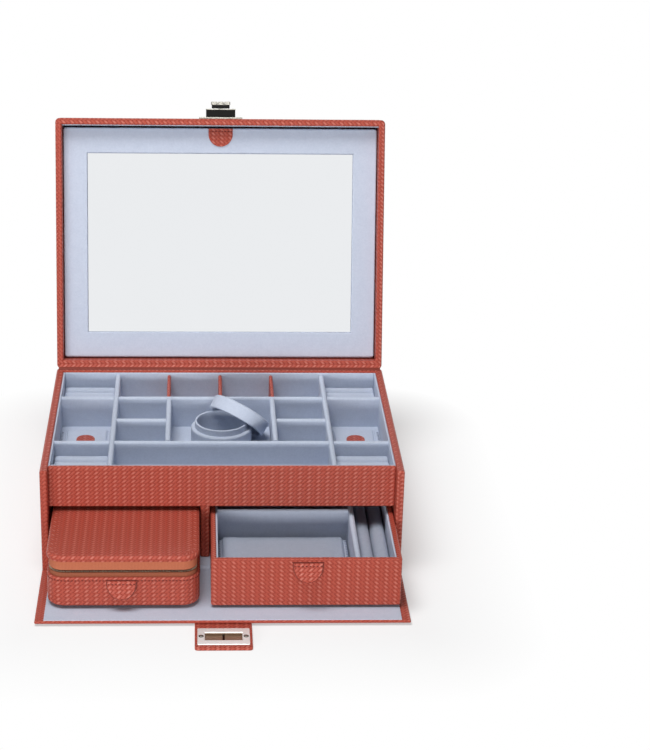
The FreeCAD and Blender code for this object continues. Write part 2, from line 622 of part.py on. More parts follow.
plate_front = "(lid_front - lock_plate_thickness)"
block_front = "(lid_front - lock_plate_thickness - lock_block_proud)"
knob_back = "(lid_front - lock_plate_thickness - lock_block_proud - knob_gap)"
knob_front = "(lid_front - lock_plate_thickness - lock_block_proud - knob_gap - knob_proud)"
spindle_path = rod_y(
    "spindle_path", "0", (block_front + " - 1", "lid_front"), "lock_z", "spindle_hole", lid_frame)
lock_plate_board = board(
    "lock_plate_board", ("-lock_plate_width / 2", "lock_plate_width / 2"), (plate_front, "lid_front"),
    ("lock_z - lock_plate_height / 2", "lock_z + lock_plate_height / 2"), lid_frame)
nodes["lock_plate"] = cut("lock_plate", lock_plate_board, spindle_path)
lock_block_board = board(
    "lock_block_board", ("-lock_block_width / 2", "lock_block_width / 2"), (block_front, plate_front),
    ("lock_z - lock_block_height / 2", "lock_z + lock_block_height / 2"), lid_frame)
nodes["lock_block"] = cut("lock_block", lock_block_board, spindle_path)
nodes["lock_spindle"] = rod_y(
    "lock_spindle", "0", (knob_back, "lid_front - 0.2"), "lock_z", "spindle_radius", lid_frame)
knob_z = ("lock_z - knob_height / 2", "lock_z + knob_height / 2")
knob_board = board(
    "knob_board", ("-knob_width / 2", "knob_width / 2"), (knob_front, knob_back), knob_z, lid_frame)
knob_grooves = []
for number, place_x in enumerate(("-knob_width / 6", "knob_width / 6")):
    knob_grooves.append(
        rod_z("knob_groove_%d" % number, place_x, knob_front,
              ("lock_z - knob_height / 2 - 1", "lock_z + knob_height / 2 + 1"), "knob_groove", lid_frame))
nodes["lock_knob"] = cut("lock_knob", knob_board, joined("knob_grooves", knob_grooves))

bar_turn = "rotation(vector(0; 0; 1); 90 - bar_angle / 2)"
bar_frame = lid_frame + "placement(vector(0; bar_y - bar_outer; %s); %s) * " % (lid_top, bar_turn)
bar_members = []
for name, radius in (("outer", "bar_outer"), ("inner", "bar_inner")):
    sector = doc.addObject("Part::Cylinder", "bar_" + name)
    sector.setExpression("Radius", bound(radius))
    sector.setExpression("Height", bound("bar_thickness"))
    sector.setExpression("Angle", bound("bar_angle"))
    place(sector, "0", "0", "0", bar_frame)
    bar_members.append(sector)
nodes["trim_bar"] = cut("trim_bar", bar_members[0], bar_members[1])

flap_near = "(-case_depth / 2 + wall_set_back - flap_gap)"
board_top = "(strap_thickness + flap_board_thickness)"
flap_top = "(strap_thickness + flap_board_thickness + flap_lining_thickness)"
nodes["flap_board"] = board(
    "flap_board", ("-" + half_width, half_width), ("flap_edge", flap_near), ("strap_thickness", board_top))
flap_side = "(case_width / 2 - flap_side_margin)"
flap_lining_y = ("flap_edge + flap_front_margin", flap_near)
nodes["flap_lining"] = board("flap_lining", ("-" + flap_side, flap_side), flap_lining_y, (board_top, flap_top))
strap_x = ("-strap_half_width", "strap_half_width")
nodes["flap_strap"] = board("flap_strap", strap_x, ("flap_edge", flap_near), ("0", "strap_thickness"))
plate_x = ("-plate_width / 2", "plate_width / 2")
plate_span = ("plate_y - plate_length / 2", "plate_y + plate_length / 2")
plate_hole = board("plate_hole", plate_x, plate_span, ("-1", "lock_tab_thickness + 1"))
tab_solid = rounded(
    "tab_solid", strap_x, ("tab_end", "flap_edge - tab_gap"), ("0", "lock_tab_thickness"), "tab_corner")
nodes["lock_tab"] = cut("lock_tab", tab_solid, plate_hole)
slot_x = ("-slot_width / 2", "slot_width / 2")
slot_span = ("plate_y - slot_length / 2", "plate_y + slot_length / 2")
slot = board("slot", slot_x, slot_span, ("-1", "plate_thickness + 1"))
plate_board = board("plate_board", plate_x, plate_span, ("0", "plate_thickness"))
nodes["escutcheon"] = cut("escutcheon", plate_board, slot)
screw_z = ("plate_thickness", "plate_thickness + screw_high")
nodes["escutcheon_screws"] = group("escutcheon_screws", [
    rod_z("screw_left", "-screw_x", "plate_y", screw_z, "screw_radius"),
    rod_z("screw_right", "screw_x", "plate_y", screw_z, "screw_radius"),
])

drawer_back_y = "(drawer_front_y + drawer_depth)"
front_inside = "(drawer_front_y + drawer_front_thickness)"
drawer_back_in = "(drawer_front_y + drawer_depth - drawer_wall)"
drawer_in_left = "(drawer_left + drawer_wall)"
drawer_in_right = "(drawer_right - drawer_wall)"
drawer_z = ("drawer_low", "drawer_top")
nodes["drawer_front"] = board(
    "drawer_front", ("drawer_left", "drawer_right"), ("drawer_front_y", front_inside), drawer_z)
nodes["drawer_back"] = board(
    "drawer_back", ("drawer_left", "drawer_right"), (drawer_back_in, drawer_back_y), drawer_z)
nodes["drawer_sides"] = group("drawer_sides", [
    board("drawer_side_left", ("drawer_left", drawer_in_left), (front_inside, drawer_back_in), drawer_z),
    board("drawer_side_right", (drawer_in_right, "drawer_right"), (front_inside, drawer_back_in), drawer_z),
])
drawer_floor_top = "(drawer_low + drawer_floor_thickness)"
nodes["drawer_floor"] = board(
    "drawer_floor", (drawer_in_left, drawer_in_right), (front_inside, drawer_back_in),
    ("drawer_low", drawer_floor_top))
drawer_liner_top = "(drawer_top - drawer_liner_drop)"
drawer_liner_z = (drawer_floor_top, drawer_liner_top)
room_left = "(drawer_left + drawer_wall + liner_thickness)"
room_right = "drawer_room_right"
room_front = "(drawer_front_y + drawer_front_thickness + liner_thickness)"
room_back = "(drawer_front_y + drawer_depth - drawer_wall - liner_thickness)"
room_floor = "(drawer_low + drawer_floor_thickness + tray_lining_thickness)"
nodes["drawer_liner"] = group("drawer_liner", [
    board("drawer_liner_left", (drawer_in_left, room_left), (front_inside, drawer_back_in), drawer_liner_z),
    board("drawer_liner_right", (room_right, drawer_in_right), (front_inside, drawer_back_in), drawer_liner_z),
    board("drawer_liner_front", (room_left, room_right), (front_inside, room_front), drawer_liner_z),
    board("drawer_liner_back", (room_left, room_right), (room_back, drawer_back_in), drawer_liner_z),
    board("drawer_liner_floor", (room_left, room_right), (room_front, room_back),
          (drawer_floor_top, room_floor)),
])
split_left = "(drawer_divider_x - divider_thickness / 2)"
split_right = "(drawer_divider_x + divider_thickness / 2)"
split_z = (room_floor, "drawer_top - drawer_divider_drop")
nodes["drawer_dividers"] = group("drawer_dividers", [
    board("drawer_long_divider", (split_left, split_right), (room_front, room_back), split_z),
    board("drawer_cross_divider", (room_left, split_left),
          ("drawer_cross_y", "drawer_cross_y + divider_thickness"), split_z),
])
roll_left = "(%s + ring_pad_gap)" % split_right
roll_right = "(%s - ring_pad_gap)" % room_right
roll_width = "((%s - %s) / 2)" % (roll_right, roll_left)
roll_crest = "(roll_top - %s / 2)" % roll_width
roll_y = (room_front + " + ring_pad_gap", room_back + " - ring_pad_gap")
nodes["drawer_ring_rolls"] = joined("drawer_ring_rolls", [
    board("roll_bed", (roll_left, roll_right), roll_y, (room_floor, roll_crest)),
    rod_y("roll_left", "%s + %s / 2" % (roll_left, roll_width), roll_y, roll_crest, roll_width + " / 2"),
    rod_y("roll_right", "%s - %s / 2" % (roll_right, roll_width), roll_y, roll_crest, roll_width + " / 2"),
])
nodes["drawer_pouch"] = rounded(
    "drawer_pouch", ("drawer_pouch_left", "drawer_pouch_right"), ("drawer_pouch_front", "drawer_pouch_back"),
    (room_floor, room_floor + " + drawer_pouch_thickness"), "8")
drawer_tab_y = ("drawer_front_y - front_tab_thickness", "drawer_front_y")
drawer_tab_mid = "drawer_tab_low + drawer_tab_width / 2"
nodes["drawer_tab"] = joined("drawer_tab", [
    board("drawer_tab_base", ("drawer_tab_x - drawer_tab_width / 2", "drawer_tab_x + drawer_tab_width / 2"),
          drawer_tab_y, (drawer_tab_mid, "drawer_tab_top")),
    half_round("drawer_tab_round", "drawer_tab_x", drawer_tab_y[0], drawer_tab_mid,
               "drawer_tab_width / 2", "front_tab_thickness"),
])

travel_back = "(travel_front + travel_depth)"
shell_x = ("travel_left", "travel_right")
shell_y = ("travel_front", travel_back)
room_x = ("travel_left + travel_wall", "travel_right - travel_wall")
room_y = ("travel_front + travel_wall", "travel_front + travel_depth - travel_wall")
shell_inner = "travel_corner - travel_wall"
body_solid = rounded("body_solid", shell_x, shell_y, ("travel_low", "travel_body_top"), "travel_corner")
body_room = rounded(
    "body_room", room_x, room_y, ("travel_low + travel_wall", "travel_body_top + 2"), shell_inner)
nodes["travel_body"] = cut("travel_body", body_solid, body_room)
zip_x = ("travel_left + zip_inset", "travel_right - zip_inset")
zip_y = ("travel_front + zip_inset", "travel_front + travel_depth - zip_inset")
zip_room_x = (zip_x[0] + " + zip_thickness", zip_x[1] + " - zip_thickness")
zip_room_y = (zip_y[0] + " + zip_thickness", zip_y[1] + " - zip_thickness")
zip_solid = rounded("zip_solid", zip_x, zip_y, ("travel_body_top", "travel_zip_top"), "zip_corner")
zip_room_z = ("travel_body_top - 1", "travel_zip_top + 1")
zip_room = rounded("zip_room", zip_room_x, zip_room_y, zip_room_z, "zip_corner - zip_thickness")
nodes["travel_zip"] = cut("travel_zip", zip_solid, zip_room)
lid_solid = rounded("lid_solid", shell_x, shell_y, ("travel_zip_top", "travel_top"), "travel_corner")
lid_room = rounded(
    "lid_room", room_x, room_y, ("travel_zip_top - 1", "travel_top - travel_wall + 0.8"), shell_inner)
nodes["travel_lid"] = cut("travel_lid", lid_solid, lid_room)
slider_z = "(travel_body_top + travel_zip_top) / 2"
slider_x = ("travel_left + zip_inset - slider_thickness", "travel_left + zip_inset")
nodes["travel_zip_slider"] = group("travel_zip_slider", [
    board("slider_block", slider_x, ("slider_y", "slider_y + slider_length"),
          (slider_z + " - slider_high / 2", slider_z + " + slider_high / 2")),
    board("slider_pull", (slider_x[0], slider_x[0] + " + pull_thickness"), ("slider_y - pull_length", "slider_y"),
          (slider_z + " - slider_high / 3", slider_z + " + slider_high / 3")),
])
travel_tab_y = ("travel_front - front_tab_thickness", "travel_front")
travel_tab_mid = "travel_tab_low + travel_tab_width / 2"
nodes["travel_tab"] = joined("travel_tab", [
    board("travel_tab_base", ("travel_tab_x - travel_tab_width / 2", "travel_tab_x + travel_tab_width / 2"),
          travel_tab_y, (travel_tab_mid, "travel_tab_top")),
    half_round("travel_tab_round", "travel_tab_x", travel_tab_y[0], travel_tab_mid,
               "travel_tab_width / 2", "front_tab_thickness"),
])

doc.recompute()
for item in doc.Objects:
    if "Invalid" in item.State or "Error" in item.State:
        raise RuntimeError("object %s does not rebuild" % item.Label)
    if hasattr(item, "Shape") and item.isDerivedFrom("Part::Feature"):
        if item.Shape.isNull() or not item.Shape.isValid():
            raise RuntimeError("object %s has no valid shape" % item.Label)

os.makedirs("parts", exist_ok=True)
for name, item in nodes.items():
    item.Shape.exportStep(os.path.join("parts", name + ".step"))
    box = item.Shape.BoundBox
    print("%-22s %d solids  x %.1f %.1f  y %.1f %.1f  z %.1f %.1f" % (
        name, len(item.Shape.Solids), box.XMin, box.XMax, box.YMin, box.YMax, box.ZMin, box.ZMax))
print(len(nodes), "pieces")
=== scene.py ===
import json
import math
import bmesh
import bpy
from mathutils import Matrix, Vector, noise

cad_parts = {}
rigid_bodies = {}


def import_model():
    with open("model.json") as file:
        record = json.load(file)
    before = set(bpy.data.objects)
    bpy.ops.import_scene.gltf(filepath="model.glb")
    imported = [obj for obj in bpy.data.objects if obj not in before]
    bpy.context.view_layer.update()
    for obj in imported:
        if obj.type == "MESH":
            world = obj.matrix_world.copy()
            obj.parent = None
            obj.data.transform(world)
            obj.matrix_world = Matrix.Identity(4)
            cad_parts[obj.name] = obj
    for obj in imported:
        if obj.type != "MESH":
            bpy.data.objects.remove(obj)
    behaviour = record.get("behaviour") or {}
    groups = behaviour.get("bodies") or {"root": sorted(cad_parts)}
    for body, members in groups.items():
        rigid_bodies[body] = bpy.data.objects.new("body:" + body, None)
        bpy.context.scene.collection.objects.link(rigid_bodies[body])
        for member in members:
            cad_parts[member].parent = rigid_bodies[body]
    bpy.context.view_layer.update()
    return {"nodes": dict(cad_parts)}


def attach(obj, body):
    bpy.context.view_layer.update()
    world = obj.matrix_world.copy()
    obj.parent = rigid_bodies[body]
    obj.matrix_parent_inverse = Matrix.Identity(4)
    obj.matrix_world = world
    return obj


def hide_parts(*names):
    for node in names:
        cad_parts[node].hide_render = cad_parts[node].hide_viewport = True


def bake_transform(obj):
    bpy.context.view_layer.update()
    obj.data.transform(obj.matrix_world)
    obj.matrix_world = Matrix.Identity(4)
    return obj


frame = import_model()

mm = 0.001
shown = bpy.context.scene.collection.objects
print("frame loaded,", len(frame["nodes"]), "nodes")


# shader sockets as values: expressions on them add Math nodes

class Wire:
    def __init__(self, tree, socket=None):
        self.tree = tree
        self.socket = socket

    def node(self, kind, settings=None, inputs=None, out=0):
        made = self.tree.nodes.new(kind)
        for key, value in (settings or {}).items():
            setattr(made, key, value)
        for key, value in (inputs or {}).items():
            if isinstance(value, Wire):
                self.tree.links.new(value.socket, made.inputs[key])
            else:
                made.inputs[key].default_value = value
        return Wire(self.tree, made.outputs[out])

    def calc(self, operation, *values):
        return self.node("ShaderNodeMath", {"operation": operation}, dict(enumerate(values)))

    def __add__(self, other):
        return self.calc("ADD", self, other)

    def __radd__(self, other):
        return self.calc("ADD", other, self)

    def __sub__(self, other):
        return self.calc("SUBTRACT", self, other)

    def __rsub__(self, other):
        return self.calc("SUBTRACT", other, self)

    def __mul__(self, other):
        return self.calc("MULTIPLY", self, other)

    def __rmul__(self, other):
        return self.calc("MULTIPLY", other, self)

    def __truediv__(self, other):
        return self.calc("DIVIDE", self, other)

    def __pow__(self, other):
        return self.calc("POWER", self, other)

    def __abs__(self):
        return self.calc("ABSOLUTE", self)

    def floor(self):
        return self.calc("FLOOR", self)

    def fraction(self):
        return self - self.floor()

    def clipped(self):
        return self.calc("MINIMUM", self.calc("MAXIMUM", self, 0.0), 1.0)

    def mixed(self, first, second):
        return self.node("ShaderNodeMix", {"data_type": "RGBA"}, {0: self, 6: first, 7: second}, 2)

    def part(self, number):
        return self.node("ShaderNodeSeparateXYZ", {}, {0: self}, number)


def startFinish(name):
    finish = bpy.data.materials.new(name)
    finish.use_nodes = True
    finish.node_tree.nodes.clear()
    return finish, Wire(finish.node_tree)


def endFinish(wire, shader):
    output = wire.tree.nodes.new("ShaderNodeOutputMaterial")
    wire.tree.links.new(shader.socket, output.inputs["Surface"])


def solidFinish(finish, wire, inputs):
    endFinish(wire, wire.node("ShaderNodeBsdfPrincipled", {}, inputs))
    return finish


def speckle(wire, scale, detail=2.0):
    coords = wire.node("ShaderNodeTexCoord", {}, {}, "Object")
    return wire.node("ShaderNodeTexNoise", {"noise_dimensions": "3D"},
                     {"Vector": coords, "Scale": scale, "Detail": detail, "Roughness": 0.6}, "Fac")


def tinted(colour, shade):
    return [shade * c for c in colour[:3]] + [1.0]


# terracotta leather, pressed with rows of zigzag ridges

leather = {
    "column": 3.7 * mm, "pitch": 3.6 * mm, "depth": 0.32 * mm,
    "swing": 0.66, "long": 0.76,  # sideways reach in columns, share of the long stroke
    # glint: a painted highlight along each long stroke, paler in every other column, as if lit from one side
    "fade": 5.0, "glint": 0.38, "glintStep": 0.28,  # pale strokes, stronger in every other column
    "crest": (0.445, 0.077, 0.049, 1.0),
    "pale": (0.62, 0.215, 0.165, 1.0),
    # dark tone: painted shade in the pressed grooves, and the grain's darker end on plain leather
    "groove": (0.300, 0.042, 0.027, 1.0),
    "patch": 28.0, "grain": 1500.0, "roughness": 0.40,
}


def leatherFinish(name, pressed=True, shade=1.0, hand=1.0):
    finish, wire = startFinish(name)
    groove = tinted(leather["groove"], shade)
    patch = speckle(wire, leather["patch"])
    grain = speckle(wire, leather["grain"], 3.0)
    height = grain * 0.10
    crest = patch.mixed(tinted(leather["crest"], 0.93 * shade), tinted(leather["crest"], shade))
    if pressed:
        skin = wire.node("ShaderNodeUVMap", {"uv_map": "skin"})
        along = (skin.part(1) / leather["pitch"]).fraction()
        # each ridge runs up in a zigzag, a long stroke and a short way back
        zig = wire.calc("MINIMUM", along / leather["long"], (1.0 - along) / (1.0 - leather["long"]))
        column = skin.part(0) / leather["column"] - zig * (hand * leather["swing"])
        way = wire.calc("FLOORED_MODULO", column.floor(), 2.0) * 2.0 - 1.0
        bar = 1.0 - (column.fraction() * 2.0 - 1.0) ** 2.0
        height = height + bar
        # between the ridges the colour goes to the dark tone: painted shade in the grooves
        colour = (bar * 1.5).clipped().mixed(groove, crest)
        # painted highlight: the long strokes take the pale tint, more in every other column
        stroke = (along * leather["fade"]).clipped() * ((leather["long"] - along) * leather["fade"]).clipped()
        glintMask = (bar ** 3.0) * stroke * (leather["glint"] - way * leather["glintStep"])
        colour = glintMask.mixed(colour, leather["pale"])
    else:
        # plain leather: the dark tone is only the darker end of its grain
        colour = (grain * 0.5 + 0.45).clipped().mixed(groove, crest)
    bump = wire.node("ShaderNodeBump", {}, {"Strength": 1.0, "Distance": leather["depth"], "Height": height})
    rough = grain * 0.14 + (leather["roughness"] - 0.07)
    return solidFinish(finish, wire, {
        "Base Color": colour, "Roughness": rough, "Normal": bump, "Specular IOR Level": 0.18})


# pale blue suede cloth

suede = {
    "light": (0.600, 0.655, 0.770, 1.0),
    "dark": (0.490, 0.545, 0.665, 1.0),
    "nap": 2600.0,
    "fleck": 620.0,
    "cloud": 170.0,
    "depth": 0.16 * mm,
}


def suedeFinish(name, shade=1.0):
    finish, wire = startFinish(name)
    nap = speckle(wire, suede["nap"], 2.0)
    cloud = speckle(wire, suede["cloud"], 3.0)
    fleck = speckle(wire, suede["fleck"], 2.0)
    lay = (nap * 0.4 + fleck * 0.9 + cloud * 0.6 - 0.45).clipped()
    colour = lay.mixed(tinted(suede["dark"], shade), tinted(suede["light"], shade))
    bump = wire.node("ShaderNodeBump", {}, {
        "Strength": 0.55, "Distance": suede["depth"], "Height": nap + cloud * 0.6})
    return solidFinish(finish, wire, {
        "Base Color": colour, "Roughness": 0.93, "Normal": bump,
        "Specular IOR Level": 0.06, "Sheen Weight": 0.05, "Sheen Roughness": 0.5})


# metals (colour, roughness, scale of the wear) and silvered glass

metals = {
    "nickel": ((0.33, 0.32, 0.285, 1.0), 0.34, 420.0),
    "satinNickel": ((0.73, 0.74, 0.73, 1.0), 0.58, 900.0),
    "bronze": ((0.30, 0.21, 0.15, 1.0), 0.45, 700.0),
    # near black: also painted dark reflection on the lock and painted shade round the screws
    "blackNickel": ((0.020, 0.020, 0.019, 1.0), 0.18, 420.0),
    "brass": ((0.72, 0.53, 0.27, 1.0), 0.26, 420.0),
    "zipMetal": ((0.30, 0.22, 0.16, 1.0), 0.35, 900.0),
}


def metalFinish(name):
    colour, roughness, scale = metals[name]
    finish, wire = startFinish(name)
    wear = speckle(wire, scale, 4.0)
    tint = wear.mixed(tinted(colour, 0.94), colour)
    return solidFinish(finish, wire, {
        "Base Color": tint, "Roughness": wear * roughness * 0.5 + roughness * 0.75, "Metallic": 1.0})


glass = {"colour": (0.835, 0.850, 0.868, 1.0), "cloud": 14.0, "roughness": 0.02}


def mirrorFinish(name):
    # silvered glass, a breath of haze on it
    finish, wire = startFinish(name)
    film = speckle(wire, glass["cloud"], 2.0)
    return solidFinish(finish, wire, {
        "Base Color": film.mixed(tinted(glass["colour"], 0.985), glass["colour"]),
        "Roughness": film * 0.01 + glass["roughness"], "Metallic": 1.0})


# woven tape and sewing thread

tape = {
    "light": (0.60, 0.20, 0.105, 1.0), "dark": (0.40, 0.105, 0.055, 1.0),
    "rib": 1.1 * mm, "weft": 0.45 * mm, "depth": 0.12 * mm, "fuzz": 900.0,
}


def tapeFinish(name, shade=1.0):
    finish, wire = startFinish(name)
    skin = wire.node("ShaderNodeUVMap", {"uv_map": "skin"})
    rib = abs((skin.part(0) / tape["rib"]).fraction() * 2.0 - 1.0)
    cross = abs((skin.part(1) / tape["weft"]).fraction() * 2.0 - 1.0)
    weave = rib * 0.6 + cross * 0.4
    fuzz = speckle(wire, tape["fuzz"])
    lay = (weave * 0.7 + fuzz * 0.5).clipped()
    bump = wire.node("ShaderNodeBump", {}, {
        "Strength": 0.7, "Distance": tape["depth"], "Height": weave + fuzz * 0.3})
    return solidFinish(finish, wire, {
        "Base Color": lay.mixed(tinted(tape["dark"], shade), tinted(tape["light"], shade)),
        "Roughness": 0.85, "Normal": bump, "Specular IOR Level": 0.2})


def threadFinish(name, dark, light):
    finish, wire = startFinish(name)
    twist = speckle(wire, 2400.0, 2.0)
    return solidFinish(finish, wire, {
        "Base Color": twist.mixed(dark, light), "Roughness": 0.75, "Specular IOR Level": 0.3})


pressedLeather = leatherFinish("pressedLeather")
turnedLeather = leatherFinish("turnedLeather", hand=-1.0)
plainLeather = leatherFinish("plainLeather", False)
# half-tone leather: painted shade in the lid's hinge crease, and the dyed edge with painted shadow round the pull
# tabs
creaseLeather = leatherFinish("creaseLeather", False, 0.5)
suedeCloth = suedeFinish("suedeCloth")
# the same cloth at three quarters: painted shade for the drawer's pouch and rolls under the tray
suedeDim = suedeFinish("suedeDim", 0.74)
nickel = metalFinish("nickel")
satinNickel = metalFinish("satinNickel")
bronze = metalFinish("bronze")
blackNickel = metalFinish("blackNickel")
brass = metalFinish("brass")
zipMetal = metalFinish("zipMetal")
silvering = mirrorFinish("silvering")
zipTape = tapeFinish("zipTape")
# the tape at six tenths: painted shade below the zip teeth
zipTapeLow = tapeFinish("zipTapeLow", 0.6)
redThread = threadFinish("redThread", (0.10, 0.016, 0.012, 1.0), (0.20, 0.035, 0.026, 1.0))
blueThread = threadFinish("blueThread", (0.10, 0.12, 0.20, 1.0), (0.22, 0.25, 0.36, 1.0))
print("finishes made")


# meshes: corners in mm, faces, and the leather's own map in metres

class Stock:
    def __init__(self):
        self.corners = []
        self.faces = []
        self.maps = []

    def face(self, numbers, places):
        self.faces.append(tuple(numbers))
        self.maps.append([(u * mm, v * mm) for u, v in places])

    def take(self, work):
        start = len(self.corners)
        work.verts.ensure_lookup_table()
        work.normal_update()
        self.corners.extend(v.co.copy() for v in work.verts)
        for f in work.faces:
            a, b = flatAxes(f.normal)
            self.face([start + v.index for v in f.verts], [(v.co[a], v.co[b]) for v in f.verts])
        work.free()

    def board(self, low, high, radius=0.8, steps=3):
        work = bmesh.new()
        bmesh.ops.create_cube(work, size=1.0)
        low, high = Vector(low), Vector(high)
        for v in work.verts:
            v.co = Vector([(low[k] + high[k]) / 2 + v.co[k] * (high[k] - low[k]) for k in range(3)])
        bmesh.ops.bevel(work, geom=work.edges[:], offset=radius, segments=steps, profile=0.5, affect="EDGES")
        self.take(work)

    def plate(self, outline, low, high, radius=0.4, lay=None, steps=2, bend=None):
        work = bmesh.new()
        base = work.faces.new([work.verts.new((x, y, low)) for x, y in outline])
        grown = bmesh.ops.extrude_face_region(work, geom=[base])
        for v in grown["geom"]:
            if isinstance(v, bmesh.types.BMVert):
                v.co.z = high
        bmesh.ops.recalc_face_normals(work, faces=work.faces[:])
        rims = [e for e in work.edges if abs(e.verts[0].co.z - e.verts[1].co.z) < 1e-6]
        bmesh.ops.bevel(work, geom=rims, offset=radius, segments=steps, profile=0.5, affect="EDGES")
        if bend is not None:
            for v in work.verts:
                v.co.z += bend(v.co)
        if lay is not None:
            work.transform(lay)
        self.take(work)

    def moveMap(self, across, up):
        self.maps = [[(u + across * mm, v + up * mm) for u, v in places] for places in self.maps]

    def sweep(self, path, section, closed=True, sealed=True):
        # path: (outer point, way in, inset); section(station, inset) gives (share of the way in, height)
        rings = []
        for station, (point, way, inset) in enumerate(path):
            ring = []
            for share, z in section(station, inset):
                self.corners.append(Vector((point[0] + way[0] * share, point[1] + way[1] * share, z)))
                ring.append(len(self.corners) - 1)
            rings.append(ring)
        size = len(rings[0])
        fullest = min(range(len(path)), key=lambda k: path[k][2])
        run = runLengths([point for point, way, inset in path])
        rise = runLengths([self.corners[n] for n in rings[fullest]])
        for a in range(len(rings) if closed else len(rings) - 1):
            b = (a + 1) % len(rings)
            for k in range(size if sealed else size - 1):
                n = (k + 1) % size
                self.face((rings[a][k], rings[b][k], rings[b][n], rings[a][n]),
                          ((run[a], rise[k]), (run[a + 1], rise[k]),
                           (run[a + 1], rise[k + 1]), (run[a], rise[k + 1])))
        if not closed:
            for ring in (rings[0], rings[-1]):
                self.face(ring, [(self.corners[n].x, self.corners[n].z) for n in ring])
        if not sealed:
            for k in (0, size - 1):
                loop = [ring[k] for ring in rings]
                self.face(loop, [(self.corners[n].x, self.corners[n].y) for n in loop])
        return rings

    def prism(self, loop, ends, place):
        # an outline drawn out from one end to the other; place(end, a, b) gives a corner
        start, size, run = len(self.corners), len(loop), runLengths(loop)
        for end in ends:
            self.corners.extend(Vector(place(end, a, b)) for a, b in loop)
        for k in range(size):
            n = (k + 1) % size
            self.face((start + k, start + n, start + size + n, start + size + k),
                      ((ends[0], run[k]), (ends[0], run[k + 1]), (ends[1], run[k + 1]), (ends[1], run[k])))
        for first in (start, start + size):
            self.face(range(first, first + size), loop)

    def mesh(self, name, material, lay=None, sharp=38.0, weld=False):
        mesh = bpy.data.meshes.new(name)
        mesh.from_pydata([c * mm for c in self.corners], [], self.faces)
        skin = mesh.uv_layers.new(name="skin")
        for face, places in zip(mesh.polygons, self.maps):
            for loop, place in zip(face.loop_indices, places):
                skin.data[loop].uv = place
        work = bmesh.new()
        work.from_mesh(mesh)
        if weld:
            bmesh.ops.remove_doubles(work, verts=work.verts[:], dist=0.00001)
        bmesh.ops.dissolve_degenerate(work, dist=0.000002, edges=work.edges[:])
        bmesh.ops.recalc_face_normals(work, faces=work.faces[:])
        work.to_mesh(mesh)
        work.free()
        if lay is not None:
            mesh.transform(lay)
        mesh.polygons.foreach_set("use_smooth", [True] * len(mesh.polygons))
        mesh.set_sharp_from_angle(angle=math.radians(sharp))
        flatten(mesh)
        mesh.materials.append(material)
        made = bpy.data.objects.new(name, mesh)
        shown.link(made)
        return made

    def piece(self, name, material, body, slot, nodes=(), lay=None, sharp=38.0, weld=False):
        return carry(self.mesh(name, material, lay, sharp, weld), body, nodes)


def flatten(mesh):
    # a wide face keeps its own normal beside the narrow faces of a rounded edge
    work = bmesh.new()
    work.from_mesh(mesh)
    for edge in work.edges:
        if len(edge.link_faces) == 2:
            small, large = sorted(f.calc_area() for f in edge.link_faces)
            if large > 6.0 * small and edge.calc_face_angle() > math.radians(6.0):
                edge.smooth = False
    work.to_mesh(mesh)
    work.free()


def carry(made, body, nodes=()):
    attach(made, body)
    if nodes:
        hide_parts(*nodes)
    return made


def flatAxes(normal):
    # the two axes of the plane that a face lies nearest to
    size = [abs(c) for c in normal]
    return ((1, 2), (0, 2), (0, 1))[size.index(max(size))]


def runLengths(points):
    # way covered round a closed outline
    run = [0.0]
    for k in range(len(points)):
        run.append(run[-1] + math.dist(points[k], points[(k + 1) % len(points)]))
    return run


def rounded(points, radii, steps=4):
    # a polygon with its corners turned into arcs
    made = []
    for k, (here, radius) in enumerate(zip(points, radii)):
        before, after = Vector(points[k - 1]), Vector(points[(k + 1) % len(points)])
        here = Vector(here)
        first, second = (before - here).normalized(), (after - here).normalized()
        half = first.angle(second) / 2
        reach = radius / math.tan(half)
        centre = here + (first + second).normalized() * (radius / math.sin(half))
        start, end = here + first * reach - centre, here + second * reach - centre
        for n in range(steps + 1):
            share = n / steps
            spoke = (start * (1 - share) + end * share).normalized() * radius
            made.append(centre + spoke)
    return made


def openCurve(shape, radii):
    # rounded between its two plain ends
    return [Vector(shape[0])] + rounded(shape, radii)[5:-5] + [Vector(shape[-1])]


def quarter(radius, steps=4):
    # way along and inset of a rounded tip
    angles = [math.radians(90.0 * n / steps) for n in range(steps + 1)]
    return [(radius * (1 - math.cos(a)), radius * (1 - math.sin(a))) for a in angles]


def roundTab(middle, radius, base, centre, steps=24):
    angles = [math.radians(180.0 - 180.0 * n / steps) for n in range(steps + 1)]
    arc = [(middle + radius * math.cos(a), centre + radius * math.sin(a)) for a in angles]
    return [(middle - radius, base)] + arc + [(middle + radius, base)]


def ringPath(low, high, walls, radius, steps=5, inner=None):
    # stations round a rectangle, walls: left, right, front, back thickness
    left, right, front, back = walls
    corners = (
        ((low[0], high[1]), (1, -1), (left, -back), 90),
        ((low[0], low[1]), (1, 1), (left, front), 180),
        ((high[0], low[1]), (-1, 1), (-right, front), 270),
        ((high[0], high[1]), (-1, -1), (-right, -back), 0),
    )
    path = []
    for corner, side, way, first in corners:
        centre = Vector((corner[0] + side[0] * radius, corner[1] + side[1] * radius))
        target = Vector((corner[0] + way[0], corner[1] + way[1]))
        for n in range(steps + 1):
            angle = math.radians(first + 90.0 * n / steps)
            spoke = Vector((math.cos(angle), math.sin(angle)))
            point = centre + spoke * radius
            if inner is None:
                path.append((point, target - point, 0.0))
            else:
                path.append((point, spoke * -inner, 0.0))
    return path


def everywhere(curve):
    return lambda station, inset: curve


def rimSection(wide, low, high, radii, steps=4):
    shape = rounded([(0, low), (0, high), (wide, high), (wide, low)], radii, steps)
    return everywhere([(d / wide, z) for d, z in shape])


